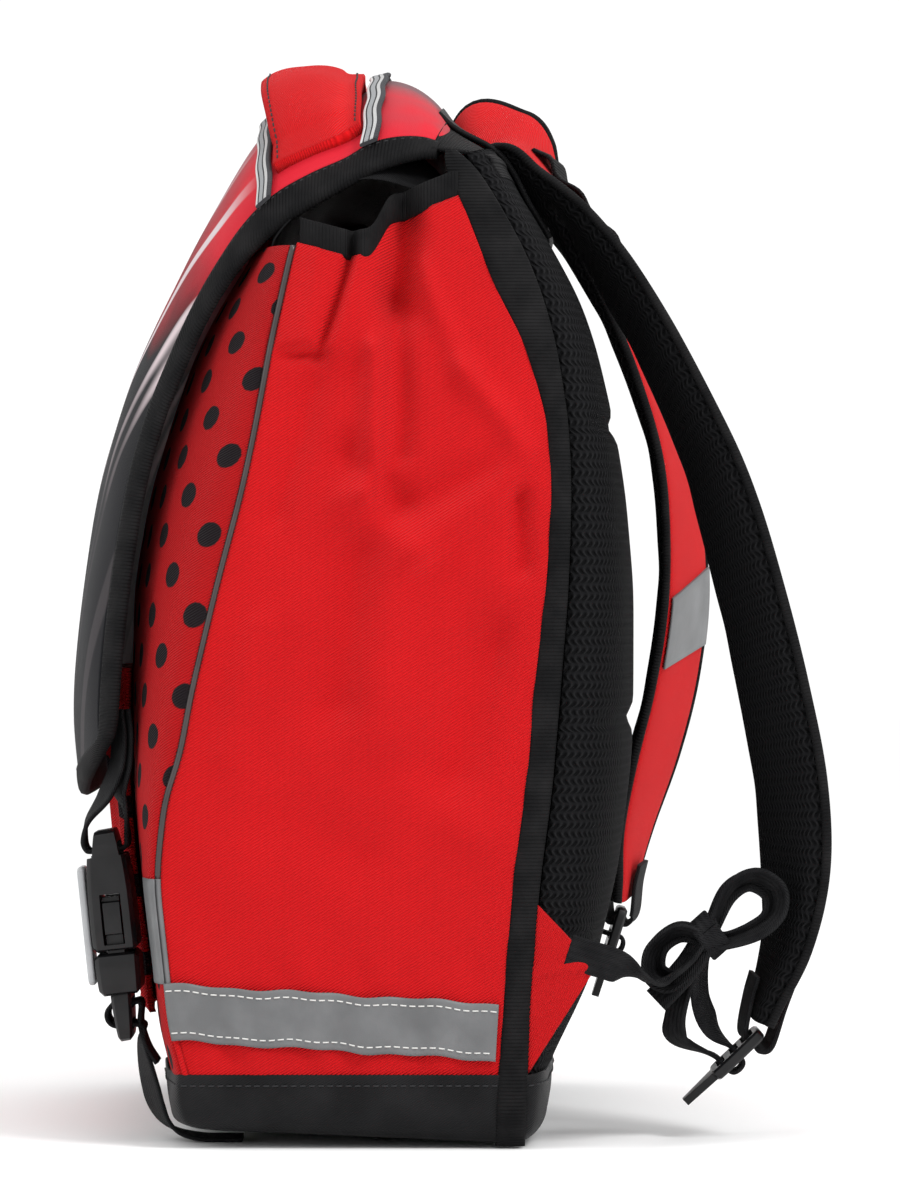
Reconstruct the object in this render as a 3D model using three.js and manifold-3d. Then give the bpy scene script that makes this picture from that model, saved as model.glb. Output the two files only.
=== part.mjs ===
import * as THREE from 'three';
import { mergeVertices } from 'three/addons/utils/BufferGeometryUtils.js';
import Module from 'manifold-3d';

// A child's school ransel that stands on its base, with its flap fastened by two side-release buckles.
// Millimetres. +X is the wearer's right, -Y the flap side, +Y the wearer's back and +Z up.
// The origin is the middle of the flat underside of the base.

const wasm = await Module();
wasm.setup();

// Driving sizes
const BAG_HEIGHT = 350;
const BAG_DEPTH = 120;
const BAG_WIDTH = 280;
const CLEARANCE = 0.4;
const TWILL_WALL = 2.4;
const TRAY_HEIGHT = 25;
const TRAY_WALL = 2.2;
const TRAY_LIFT = 5.5;
const FLAT_SIDE_INSET = 78;
const PIPING = 3.2;
const BINDING_WALL = 4;
const MOUTH_BINDING = 9;
const TAPE_WALL = 1.2;
const REFLECTOR_TAPE = 20;
const BACK_PAD = 8;
const POCKET_BOTTOM = 44;
const POCKET_TOP = 168;
const POCKET_BULGE = 7;
const FLAP_INSET = 12;
const FLAP_WIDTH = BAG_WIDTH - 2 * FLAP_INSET;
const FLAP_WALL = 3;
const FLAP_BINDING_WALL = 5;
const TRIM_TAPE_WIDTH = 7;
const TRIM_TAPE_WALL = 2.6;
const HANDLE_WALL = 4;
const HANDLE_LIFT = 10.5;
const HANDLE_REAR_LIFT = 1.5;
const YOKE_WALL = 2;
const STRAP_WIDTH = 56;
const STRAP_PAD = 6;
const STRAP_FACING = 2.4;
const WEBBING_WIDTH = 20;
const WEBBING_WALL = 1.6;
const BUCKLE_WIDTH = 30;
const BUCKLE_DEPTH = 16;
const BUCKLE_LENGTH = 43;
const BUCKLE_INSET = 24;
const BUCKLE_CENTRE = FLAP_WIDTH / 2 - BUCKLE_INSET;
const POCKET_CLEARANCE = 5;
const POCKET_HALF_WIDTH = BUCKLE_CENTRE - BUCKLE_WIDTH / 2 - POCKET_CLEARANCE;
const ANCHOR_TAB_WALL = 2.4;

// Side outline of the bag. Heights are shares of BAG_HEIGHT and the widths shares of BAG_WIDTH.
// The others are shares of BAG_DEPTH, forward negative: the front corner seam, the front panel at
// its middle, the two edges of the back binding, and the back panel at its middle.
const OUTLINE = [
  { height: 0.069, seam: -0.45, front: -0.533, binding: 0.458, edge: 0.538, back: 0.608, width: 1 },
  { height: 0.12, seam: -0.496, front: -0.572, binding: 0.467, edge: 0.542, back: 0.692, width: 1 },
  { height: 0.166, seam: -0.508, front: -0.575, binding: 0.475, edge: 0.55, back: 0.758, width: 1 },
  { height: 0.271, seam: -0.542, front: -0.617, binding: 0.5, edge: 0.575, back: 0.833, width: 1 },
  { height: 0.354, seam: -0.517, front: -0.65, binding: 0.533, edge: 0.608, back: 0.863, width: 1 },
  { height: 0.389, seam: -0.475, front: -0.658, binding: 0.546, edge: 0.617, back: 0.875, width: 1 },
  { height: 0.454, seam: -0.442, front: -0.667, binding: 0.558, edge: 0.633, back: 0.879, width: 1 },
  { height: 0.563, seam: -0.367, front: -0.658, binding: 0.596, edge: 0.658, back: 0.879, width: 1 },
  { height: 0.66, seam: -0.292, front: -0.608, binding: 0.613, edge: 0.667, back: 0.854, width: 1 },
  { height: 0.729, seam: -0.25, front: -0.55, binding: 0.6, edge: 0.658, back: 0.821, width: 0.993 },
  { height: 0.809, seam: -0.208, front: -0.467, binding: 0.533, edge: 0.621, back: 0.767, width: 0.979 },
  { height: 0.86, seam: -0.175, front: -0.383, binding: 0.45, edge: 0.579, back: 0.717, width: 0.968 },
  { height: 0.906, seam: -0.146, front: -0.283, binding: 0.4, edge: 0.525, back: 0.642, width: 0.957 },
  { height: 0.957, seam: -0.1, front: -0.208, binding: 0.342, edge: 0.442, back: 0.558, width: 0.943 },
  { height: 1.006, seam: -0.067, front: -0.15, binding: 0.275, edge: 0.35, back: 0.45, width: 0.914 },
];

// Upper edge of each side panel, from the front seam (across 0) to the back binding (across 1).
// The step behind the middle is the pleat that folds in when the bag is closed.
const MOUTH = [
  { across: 0, height: 0.909 },
  { across: 0.3, height: 0.895 },
  { across: 0.41, height: 0.897 },
  { across: 0.52, height: 0.932 },
  { across: 0.75, height: 0.942 },
  { across: 1, height: 0.949 },
];

// Folds and dents of the side panels: from one point to another, both as shares across the panel
// and of BAG_HEIGHT, with the fold's half width and its depth as shares of BAG_DEPTH.
const SIDE_FOLDS = [
  { fromAcross: 0.42, fromHeight: 0.9, toAcross: 0.24, toHeight: 0.81, reach: 0.05, depth: 0.03 },
  { fromAcross: 0.6, fromHeight: 0.94, toAcross: 0.47, toHeight: 0.82, reach: 0.07, depth: -0.05 },
  { fromAcross: 0.36, fromHeight: 0.82, toAcross: 0.37, toHeight: 0.68, reach: 0.05, depth: 0.03 },
  { fromAcross: 0.3, fromHeight: 0.68, toAcross: 0.55, toHeight: 0.63, reach: 0.05, depth: -0.03 },
  { fromAcross: 0.55, fromHeight: 0.63, toAcross: 0.85, toHeight: 0.71, reach: 0.05, depth: -0.03 },
  { fromAcross: 0.9, fromHeight: 0.64, toAcross: 0.92, toHeight: 0.59, reach: 0.05, depth: -0.035 },
  { fromAcross: 0.4, fromHeight: 0.59, toAcross: 0.42, toHeight: 0.45, reach: 0.07, depth: -0.022 },
  { fromAcross: 0.85, fromHeight: 0.48, toAcross: 0.8, toHeight: 0.4, reach: 0.1, depth: -0.028 },
];

// Flap from its seam at the back, over the top and down the front. Crown is the middle of the flap
// and rim its side edge. Depths are shares of BAG_DEPTH and heights shares of BAG_HEIGHT.
const FLAP_ROWS = [
  { crownDepth: 0.333, crownHeight: 1.043, rimDepth: 0.275, rimHeight: 1.003 },
  { crownDepth: 0.283, crownHeight: 1.073, rimDepth: 0.217, rimHeight: 1 },
  { crownDepth: 0.2, crownHeight: 1.094, rimDepth: 0.15, rimHeight: 0.993 },
  { crownDepth: 0.108, crownHeight: 1.099, rimDepth: 0.075, rimHeight: 0.983 },
  { crownDepth: 0.025, crownHeight: 1.081, rimDepth: 0, rimHeight: 0.969 },
  { crownDepth: -0.092, crownHeight: 1.077, rimDepth: -0.1, rimHeight: 0.949 },
  { crownDepth: -0.208, crownHeight: 1.063, rimDepth: -0.2, rimHeight: 0.926 },
  { crownDepth: -0.292, crownHeight: 1.029, rimDepth: -0.292, rimHeight: 0.897 },
  { crownDepth: -0.392, crownHeight: 0.971, rimDepth: -0.367, rimHeight: 0.863 },
  { crownDepth: -0.492, crownHeight: 0.911, rimDepth: -0.433, rimHeight: 0.823 },
  { crownDepth: -0.592, crownHeight: 0.841, rimDepth: -0.492, rimHeight: 0.777 },
  { crownDepth: -0.675, crownHeight: 0.771, rimDepth: -0.542, rimHeight: 0.734 },
  { crownDepth: -0.75, crownHeight: 0.686, rimDepth: -0.592, rimHeight: 0.674 },
  { crownDepth: -0.8, crownHeight: 0.594, rimDepth: -0.633, rimHeight: 0.594 },
  { crownDepth: -0.833, crownHeight: 0.509, rimDepth: -0.663, rimHeight: 0.509 },
  { crownDepth: -0.842, crownHeight: 0.429, rimDepth: -0.679, rimHeight: 0.443 },
  { crownDepth: -0.821, crownHeight: 0.343, rimDepth: -0.683, rimHeight: 0.417 },
];
const FLAP_LAST = FLAP_ROWS.length - 1;
const FLAP_BOTTOM_SEAM = FLAP_LAST - 0.34;
const FLAP_RIM_ANGLE = 1.257;
const FLAP_SIDE_SEAM = 0.847;

// Shoulder straps from the yoke down. Across is a share of half of BAG_WIDTH, depth a share of
// BAG_DEPTH, height a share of BAG_HEIGHT, twist in radians and width a share of STRAP_WIDTH.
const RIGHT_STRAP = [
  { across: 0.36, depth: 0.406, height: 1.061, twist: 0, width: 0.8 },
  { across: 0.38, depth: 0.479, height: 1.044, twist: 0.04, width: 0.82 },
  { across: 0.4, depth: 0.545, height: 1.022, twist: 0.07, width: 0.86 },
  { across: 0.43, depth: 0.62, height: 0.985, twist: 0.1, width: 0.92 },
  { across: 0.48, depth: 0.735, height: 0.932, twist: 0.14, width: 1 },
  { across: 0.52, depth: 0.842, height: 0.875, twist: 0.18, width: 1 },
  { across: 0.57, depth: 0.96, height: 0.802, twist: 0.2, width: 1 },
  { across: 0.61, depth: 1.07, height: 0.719, twist: 0.24, width: 1 },
  { across: 0.65, depth: 1.15, height: 0.64, twist: 0.3, width: 1 },
  { across: 0.68, depth: 1.22, height: 0.55, twist: 0.33, width: 1 },
  { across: 0.7, depth: 1.28, height: 0.46, twist: 0.35, width: 1 },
  { across: 0.71, depth: 1.33, height: 0.365, twist: 0.36, width: 1 },
  { across: 0.71, depth: 1.345, height: 0.277, twist: 0.34, width: 0.96 },
  { across: 0.7, depth: 1.32, height: 0.197, twist: 0.26, width: 0.8 },
  { across: 0.69, depth: 1.265, height: 0.137, twist: 0.14, width: 0.62 },
];
const LEFT_STRAP = [
  { across: 0.36, depth: 0.406, height: 1.061, twist: 0, width: 0.8 },
  { across: 0.38, depth: 0.479, height: 1.044, twist: 0.04, width: 0.82 },
  { across: 0.4, depth: 0.545, height: 1.022, twist: 0.07, width: 0.86 },
  { across: 0.43, depth: 0.62, height: 0.985, twist: 0.1, width: 0.92 },
  { across: 0.47, depth: 0.735, height: 0.932, twist: 0.14, width: 1 },
  { across: 0.5, depth: 0.842, height: 0.875, twist: 0.16, width: 1 },
  { across: 0.54, depth: 0.945, height: 0.802, twist: 0.2, width: 1 },
  { across: 0.58, depth: 1.03, height: 0.719, twist: 0.24, width: 1 },
  { across: 0.63, depth: 1.07, height: 0.64, twist: 0.28, width: 1 },
  { across: 0.69, depth: 1.08, height: 0.55, twist: 0.32, width: 1 },
  { across: 0.75, depth: 1.05, height: 0.46, twist: 0.34, width: 1 },
  { across: 0.81, depth: 0.99, height: 0.37, twist: 0.34, width: 0.98 },
  { across: 0.86, depth: 0.93, height: 0.29, twist: 0.28, width: 0.86 },
  { across: 0.88, depth: 0.9, height: 0.23, twist: 0.2, width: 0.66 },
];

const FRONT_ROUNDING = 2.4;
const BACK_ROUNDING = 3;

// Finishes
function finish(colour, roughness, metalness = 0) {
  return new THREE.MeshStandardMaterial({ color: colour, roughness, metalness });
}
const redTwill = finish(0xb3262b, 0.85);
const dottedTwill = finish(0xb02228, 0.85);
const coatedCharcoal = finish(0x3b3d40, 0.6);
const blackMesh = finish(0x1c1c1e, 0.95);
const blackGrosgrain = finish(0x161617, 0.8);
const blackPlastic = finish(0x141416, 0.45);
const greyReflector = finish(0x8b8e90, 0.4);
const stripedTape = finish(0x8f8f92, 0.8);
const flapCloth = finish(0x6a2a30, 0.7);

// Basic bodies
function mix(from, to, share) {
  return from + (to - from) * share;
}

function place(x, y, z) {
  return new THREE.Vector3(x, y, z);
}

// A body from its triangles, turned so that its faces point outwards.
function bodyOf(triangles) {
  let volume = 0;
  for (const [a, b, c] of triangles) {
    volume += a.dot(b.clone().cross(c));
  }
  const corners = [];
  for (const [a, b, c] of triangles) {
    const turned = volume < 0 ? [a, c, b] : [a, b, c];
    for (const corner of turned) {
      corners.push(corner.x, corner.y, corner.z);
    }
  }
  const geometry = new THREE.BufferGeometry();
  geometry.setAttribute('position', new THREE.Float32BufferAttribute(corners, 3));
  geometry.computeVertexNormals();
  return geometry;
}

function quad(a, b, c, d) {
  return [[a, b, c], [a, c, d]];
}

// A wall between two grids of points, for the cells that are kept.
function wallBody(outer, inner, kept = () => true) {
  const columns = outer.length - 1;
  const rows = outer[0].length - 1;
  const has = (i, j) => i >= 0 && j >= 0 && i < columns && j < rows && kept(i, j);
  const triangles = [];
  const side = (i, j, k, l) => {
    triangles.push(...quad(outer[i][j], inner[i][j], inner[k][l], outer[k][l]));
  };
  for (let i = 0; i < columns; i += 1) {
    for (let j = 0; j < rows; j += 1) {
      if (!has(i, j)) {
        continue;
      }
      triangles.push(...quad(outer[i][j], outer[i + 1][j], outer[i + 1][j + 1], outer[i][j + 1]));
      triangles.push(...quad(inner[i][j], inner[i][j + 1], inner[i + 1][j + 1], inner[i + 1][j]));
      if (!has(i, j - 1)) {
        side(i, j, i + 1, j);
      }
      if (!has(i + 1, j)) {
        side(i + 1, j, i + 1, j + 1);
      }
      if (!has(i, j + 1)) {
        side(i + 1, j + 1, i, j + 1);
      }
      if (!has(i - 1, j)) {
        side(i, j + 1, i, j);
      }
    }
  }
  return bodyOf(triangles);
}

// A body through a row of like sections, closed at both ends by flat faces.
function loftBody(sections) {
  const triangles = [];
  const count = sections[0].length;
  for (let k = 0; k < sections.length - 1; k += 1) {
    for (let i = 0; i < count; i += 1) {
      const next = (i + 1) % count;
      triangles.push(...quad(
        sections[k][i], sections[k][next], sections[k + 1][next], sections[k + 1][i],
      ));
    }
  }
  const first = sections[0];
  const last = sections[sections.length - 1];
  for (let i = 1; i < count - 1; i += 1) {
    triangles.push([first[0], first[i + 1], first[i]]);
    triangles.push([last[0], last[i], last[i + 1]]);
  }
  return bodyOf(triangles);
}

function gridOf(columns, rows, pointAt) {
  return columns.map((column) => rows.map((row) => pointAt(column, row)));
}

function steps(from, to, count) {
  return Array.from({ length: count + 1 }, (unused, k) => mix(from, to, k / count));
}

// Directions of a strip at each point of its path: along it, across it and out of its face.
function stripFrames(path, acrossAt) {
  return path.map((centre, k) => {
    const before = path[Math.max(k - 1, 0)];
    const after = path[Math.min(k + 1, path.length - 1)];
    const along = after.clone().sub(before).normalize();
    const across = acrossAt(k).clone();
    across.addScaledVector(along, -across.dot(along)).normalize();
    const out = across.clone().cross(along);
    return { centre, across, out };
  });
}

// A strip whose section is given as pairs: distance across and distance out of the face.
function stripBody(path, acrossAt, sectionAt) {
  const frames = stripFrames(path, acrossAt);
  return loftBody(frames.map((frame, k) => sectionAt(k).map(([across, out]) => (
    frame.centre.clone().addScaledVector(frame.across, across).addScaledVector(frame.out, out)
  ))));
}

const SIDEWAYS = place(1, 0, 0);

function webbingBody(path, width = WEBBING_WIDTH, across = SIDEWAYS) {
  const half = width / 2;
  const wall = WEBBING_WALL / 2;
  const section = [[-half, -wall], [half, -wall], [half, wall], [-half, wall]];
  return stripBody(path, () => across, () => section);
}

// A smooth path through points given as [x, depth, height].
function smoothPath(points, count) {
  const curve = new THREE.CatmullRomCurve3(points.map(([x, y, z]) => place(x, y, z)));
  return curve.getSpacedPoints(count);
}

function solidOf(geometry) {
  const bare = geometry.clone();
  bare.deleteAttribute('normal');
  bare.deleteAttribute('uv');
  const merged = mergeVertices(bare, 1e-4);
  return new wasm.Manifold(new wasm.Mesh({
    numProp: 3,
    vertProperties: new Float32Array(merged.attributes.position.array),
    triVerts: new Uint32Array(merged.index.array),
  }));
}

function geometryOf(solid) {
  const mesh = solid.getMesh();
  const geometry = new THREE.BufferGeometry();
  geometry.setAttribute('position', new THREE.BufferAttribute(new Float32Array(mesh.vertProperties), 3));
  geometry.setIndex(new THREE.BufferAttribute(new Uint32Array(mesh.triVerts), 1));
  geometry.computeVertexNormals();
  return geometry;
}

function blockAt(centre, size) {
  return new THREE.BoxGeometry(size.x, size.y, size.z).translate(centre.x, centre.y, centre.z);
}

const ransel = new THREE.Group();

function addPiece(name, geometry, material) {
  const piece = new THREE.Mesh(geometry, material);
  piece.name = name;
  ransel.add(piece);
  return piece;
}

const SIDES = [
  { name: 'right', sign: 1 },
  { name: 'left', sign: -1 },
];

// Outline of the bag at a height
function outlineAt(height) {
  const share = height / BAG_HEIGHT;
  let k = 0;
  while (k < OUTLINE.length - 2 && OUTLINE[k + 1].height < share) {
    k += 1;
  }
  const below = OUTLINE[k];
  const above = OUTLINE[k + 1];
  const part = Math.max(0, (share - below.height) / (above.height - below.height));
  const depth = (column) => BAG_DEPTH * mix(below[column], above[column], part);
  return {
    seam: depth('seam'),
    front: depth('front'),
    binding: depth('binding'),
    edge: depth('edge'),
    back: depth('back'),
    halfWidth: (BAG_WIDTH / 2) * mix(below.width, above.width, part),
  };
}

// Shares across and forward of a rounded section at an angle from its middle.
function rounded(angle, rounding) {
  const across = Math.sign(angle) * Math.abs(Math.sin(angle)) ** (2 / rounding);
  const crown = Math.max(0, Math.cos(angle)) ** (2 / rounding);
  return { across, crown };
}

// Front panel
const PANEL_BOTTOM = TRAY_HEIGHT + CLEARANCE;
const FRONT_TOP = 0.906 * BAG_HEIGHT;
const SEAM_ROOM = PIPING / 2 + CLEARANCE;

function frontPoint(angle, height, lift) {
  const outline = outlineAt(height);
  const section = rounded(angle, FRONT_ROUNDING);
  const seam = outline.seam - SEAM_ROOM;
  const halfWidth = outline.halfWidth + lift;
  return place(
    halfWidth * section.across,
    mix(seam, outline.front - lift, section.crown),
    height,
  );
}

function heightsBetween(from, to) {
  const inside = OUTLINE.map((row) => row.height * BAG_HEIGHT).filter((z) => z > from + 4 && z < to - 4);
  return [from, ...inside, to];
}

const FRONT_HEIGHTS = heightsBetween(PANEL_BOTTOM, FRONT_TOP);
const FRONT_ANGLES = steps(-Math.PI / 2, Math.PI / 2, 14);

function makeFrontPanel() {
  const outer = gridOf(FRONT_ANGLES, FRONT_HEIGHTS, (angle, z) => frontPoint(angle, z, 0));
  const inner = gridOf(FRONT_ANGLES, FRONT_HEIGHTS, (angle, z) => frontPoint(angle, z, -TWILL_WALL));
  addPiece('front_panel', wallBody(outer, inner), dottedTwill);
}

// Front pocket, a bellowed sheet sewn on below the flap
function makeFrontPocket() {
  const bulge = (x, z) => {
    const sideFall = 1 - (Math.abs(x) / POCKET_HALF_WIDTH) ** 8;
    const rise = Math.min(1, (z - POCKET_BOTTOM) / (POCKET_TOP - POCKET_BOTTOM) / 0.12);
    return POCKET_BULGE * Math.max(0, sideFall) * rise;
  };
  const angleAt = (x) => Math.asin((Math.abs(x) / (BAG_WIDTH / 2)) ** (FRONT_ROUNDING / 2)) * Math.sign(x);
  const columns = [-1, -0.95, -0.84, -0.6, -0.3, 0, 0.3, 0.6, 0.84, 0.95, 1].map((share) => (
    share * POCKET_HALF_WIDTH
  ));
  const rows = [POCKET_BOTTOM, mix(POCKET_BOTTOM, POCKET_TOP, 0.12), ...heightsBetween(
    mix(POCKET_BOTTOM, POCKET_TOP, 0.2), POCKET_TOP,
  )];
  const seat = 2.5 * CLEARANCE;
  const pointAt = (x, z, lift) => {
    const point = frontPoint(angleAt(x), z, seat);
    point.y -= lift + bulge(x, z);
    return point;
  };
  const outer = gridOf(columns, rows, (x, z) => pointAt(x, z, TWILL_WALL));
  const inner = gridOf(columns, rows, (x, z) => pointAt(x, z, 0));
  addPiece('front_pocket', wallBody(outer, inner), dottedTwill);
}

// Reflective pieces on the front, between the pocket and the corner seams
const FRONT_REFLECTOR_BOTTOM = 0.166 * BAG_HEIGHT;
const FRONT_REFLECTOR_TOP = 0.271 * BAG_HEIGHT;

function makeFrontReflector(side) {
  const lastAngle = FRONT_ANGLES[FRONT_ANGLES.length - 1];
  const firstAngle = FRONT_ANGLES[FRONT_ANGLES.length - 3];
  const angles = steps(firstAngle, lastAngle, 2).map((angle) => side.sign * angle);
  const rows = [FRONT_REFLECTOR_BOTTOM, FRONT_REFLECTOR_TOP];
  const near = CLEARANCE;
  const outer = gridOf(angles, rows, (angle, z) => frontPoint(angle, z, near + TAPE_WALL));
  const inner = gridOf(angles, rows, (angle, z) => frontPoint(angle, z, near));
  addPiece(`front_reflector_${side.name}`, wallBody(outer, inner), greyReflector);
}

// Corner piping in the seam between the front and each side
function makeCornerPiping(side) {
  const heights = heightsBetween(PANEL_BOTTOM, FRONT_TOP);
  const radius = PIPING / 2;
  const sections = heights.map((z) => {
    const outline = outlineAt(z);
    return steps(0, 1, 8).slice(0, 8).map((turn) => place(
      side.sign * (outline.halfWidth - 0.4 * radius + radius * Math.cos(turn * 2 * Math.PI)),
      outline.seam + radius * Math.sin(turn * 2 * Math.PI),
      z,
    ));
  });
  addPiece(`corner_piping_${side.name}`, loftBody(sections), blackGrosgrain);
}

// Side panels with their folds
function foldAt(across, height) {
  let depth = 0;
  for (const fold of SIDE_FOLDS) {
    const reachHeight = fold.reach * (BAG_DEPTH / BAG_HEIGHT);
    const runAcross = (fold.toAcross - fold.fromAcross) / fold.reach;
    const runHeight = (fold.toHeight - fold.fromHeight) / reachHeight;
    const atAcross = (across - fold.fromAcross) / fold.reach;
    const atHeight = (height / BAG_HEIGHT - fold.fromHeight) / reachHeight;
    const along = (atAcross * runAcross + atHeight * runHeight) / (runAcross ** 2 + runHeight ** 2);
    const nearest = Math.min(1, Math.max(0, along));
    const away = Math.hypot(atAcross - nearest * runAcross, atHeight - nearest * runHeight);
    depth += fold.depth * BAG_DEPTH * Math.exp(-away * away);
  }
  return depth;
}

function mouthHeight(across) {
  let k = 0;
  while (k < MOUTH.length - 2 && MOUTH[k + 1].across < across) {
    k += 1;
  }
  const part = (across - MOUTH[k].across) / (MOUTH[k + 1].across - MOUTH[k].across);
  return BAG_HEIGHT * mix(MOUTH[k].height, MOUTH[k + 1].height, part);
}

function sidePoint(side, across, height, lift) {
  const outline = outlineAt(height);
  const edgeFade = Math.min(1, 8 * across, 8 * (1 - across));
  const fold = foldAt(across, height) * edgeFade;
  return place(
    side.sign * (outline.halfWidth + fold + lift),
    mix(outline.seam + SEAM_ROOM, outline.binding - CLEARANCE, across),
    height,
  );
}

const SIDE_COLUMNS = [0, 0.12, 0.24, 0.34, 0.41, 0.52, 0.64, 0.75, 0.87, 1];

function makeSidePanel(side) {
  const low = heightsBetween(PANEL_BOTTOM, 0.44 * BAG_HEIGHT);
  const high = steps(0.48, 0.86, 9).map((share) => share * BAG_HEIGHT);
  const rows = [...low, ...high];
  const full = (lift) => SIDE_COLUMNS.map((across) => [
    ...rows.map((z) => sidePoint(side, across, z, lift)),
    sidePoint(side, across, mouthHeight(across), lift),
  ]);
  addPiece(`side_panel_${side.name}`, wallBody(full(0), full(-TWILL_WALL)), redTwill);
}

function makeMouthBinding(side) {
  const rows = [CLEARANCE, MOUTH_BINDING];
  const pointAt = (across, rise, lift) => sidePoint(side, across, mouthHeight(across) + rise, lift);
  const outer = gridOf(SIDE_COLUMNS, rows, (across, rise) => pointAt(across, rise, 0.6));
  const inner = gridOf(SIDE_COLUMNS, rows, (across, rise) => pointAt(across, rise, -TWILL_WALL - 0.6));
  addPiece(`mouth_binding_${side.name}`, wallBody(outer, inner), blackGrosgrain);
}

// Reflective tape round the foot of each side
function makeSideReflector(side) {
  const columns = SIDE_COLUMNS.map((across) => mix(0.02, 0.98, across));
  const top = (across) => mix(0.166, 0.147, across) * BAG_HEIGHT;
  const rows = [-REFLECTOR_TAPE, 0];
  const near = CLEARANCE;
  const outer = gridOf(columns, rows, (across, down) => (
    sidePoint(side, across, top(across) + down, near + TAPE_WALL)
  ));
  const inner = gridOf(columns, rows, (across, down) => (
    sidePoint(side, across, top(across) + down, near)
  ));
  addPiece(`side_reflector_${side.name}`, wallBody(outer, inner), greyReflector);
}

// Back binding down each rear corner, over the rim of the tray and to the floor
function makeBackBinding(side) {
  const proud = 0.6;
  const overTray = [
    { height: 1, inset: 7.5 },
    { height: TRAY_LIFT + 1, inset: 2 },
    { height: 0.5 * TRAY_HEIGHT, inset: 0 },
    { height: TRAY_HEIGHT + 2 * CLEARANCE, inset: 0 },
  ];
  const upper = heightsBetween(TRAY_HEIGHT + BINDING_WALL + 3, BAG_HEIGHT);
  const rows = [
    ...overTray.map((row) => {
      const inner = outlineAt(row.height).halfWidth - row.inset + CLEARANCE;
      return { height: row.height, inner, outer: inner + 0.6 * BINDING_WALL };
    }),
    ...upper.map((height) => {
      const outer = outlineAt(height).halfWidth + proud;
      return { height, inner: outer - BINDING_WALL, outer };
    }),
  ];
  const sections = rows.map((row) => {
    const outline = outlineAt(row.height);
    return [
      place(side.sign * row.inner, outline.binding, row.height),
      place(side.sign * row.outer, outline.binding, row.height),
      place(side.sign * row.outer, outline.edge, row.height),
      place(side.sign * row.inner, outline.edge, row.height),
    ];
  });
  addPiece(`back_binding_${side.name}`, loftBody(sections), blackGrosgrain);
}

// Padded back panel
const BACK_TOP = BAG_HEIGHT;
const BACK_CROWN_RISE = 4;
const BACK_HEIGHTS = heightsBetween(PANEL_BOTTOM, BACK_TOP);
const BACK_ANGLES = steps(-1.5, 1.5, 12);

function backPoint(angle, height, lift) {
  const outline = outlineAt(height);
  const section = rounded(angle, BACK_ROUNDING);
  const halfWidth = outline.halfWidth + 0.6 - BINDING_WALL - CLEARANCE;
  const rise = height === BACK_TOP ? BACK_CROWN_RISE * section.crown : 0;
  return place(
    (halfWidth + Math.min(0, lift) * 0.3) * section.across,
    mix(outline.edge, outline.back, section.crown) + lift,
    height + rise,
  );
}

function makeBackPanel() {
  const outer = gridOf(BACK_ANGLES, BACK_HEIGHTS, (angle, z) => backPoint(angle, z, 0));
  const inner = gridOf(BACK_ANGLES, BACK_HEIGHTS, (angle, z) => backPoint(angle, z, -BACK_PAD));
  addPiece('back_panel', wallBody(outer, inner), blackMesh);
}

// Base tray: rings from the flat underside out to the rim and back inside
function trayRing(height, inset, lifted, sideInset = inset) {
  const outline = outlineAt(TRAY_HEIGHT);
  const middle = (outline.front + outline.back) / 2;
  const halfDepth = (outline.back - outline.front) / 2;
  const front = steps(-Math.PI / 2, Math.PI / 2, 12).map((angle) => {
    const section = rounded(angle, FRONT_ROUNDING);
    return [outline.halfWidth * section.across, mix(outline.seam, outline.front, section.crown)];
  });
  const back = steps(Math.PI / 2, -Math.PI / 2, 10).map((angle) => {
    const section = rounded(angle, BACK_ROUNDING);
    return [outline.halfWidth * section.across, mix(outline.edge, outline.back, section.crown)];
  });
  return [...front, ...back].map(([x, y]) => {
    const depth = middle + (y - middle) * (1 - inset / halfDepth);
    const settle = Math.min(1, Math.max(0, (y - 0.1 * BAG_DEPTH) / (0.35 * BAG_DEPTH)));
    const lift = lifted * mix(1, 0.15, settle);
    return place(x * (1 - sideInset / outline.halfWidth), depth, height + lift);
  });
}

function makeBaseTray() {
  const rings = [
    trayRing(0, 30, 0, FLAT_SIDE_INSET),
    trayRing(0.2, 8, TRAY_LIFT),
    trayRing(0.5 * TRAY_HEIGHT, 1, 0),
    trayRing(TRAY_HEIGHT, 0, 0),
    trayRing(TRAY_HEIGHT, TRAY_WALL, 0),
    trayRing(0.5 * TRAY_HEIGHT + 0.5, TRAY_WALL + 1, 0),
    trayRing(TRAY_WALL + 0.6, 9 + TRAY_WALL, TRAY_LIFT),
    trayRing(TRAY_WALL, 30 + TRAY_WALL, 0, FLAT_SIDE_INSET + TRAY_WALL),
  ];
  addPiece('base_tray', loftBody(rings), coatedCharcoal);
}

// Flap, with rows counted along its length and shares from -1 to 1 across it
function flapPoint(share, row) {
  const angle = share * FLAP_RIM_ANGLE;
  const section = rounded(angle, FRONT_ROUNDING);
  const drop = (1 - section.crown) / (1 - rounded(FLAP_RIM_ANGLE, FRONT_ROUNDING).crown);
  const k = Math.min(FLAP_LAST - 1, Math.floor(row));
  const column = (name) => mix(FLAP_ROWS[k][name], FLAP_ROWS[k + 1][name], row - k);
  return place(
    (FLAP_WIDTH / 2) * section.across,
    BAG_DEPTH * mix(column('crownDepth'), column('rimDepth'), drop),
    BAG_HEIGHT * mix(column('crownHeight'), column('rimHeight'), drop),
  );
}

function flapOut(share, row) {
  const left = flapPoint(Math.max(-1, share - 0.05), row);
  const right = flapPoint(Math.min(1, share + 0.05), row);
  const behind = flapPoint(share, Math.max(0, row - 0.5));
  const ahead = flapPoint(share, Math.min(FLAP_LAST, row + 0.5));
  return ahead.sub(behind).cross(right.sub(left)).normalize();
}

function onFlap(share, row, lift) {
  return flapPoint(share, row).addScaledVector(flapOut(share, row), lift);
}

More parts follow.
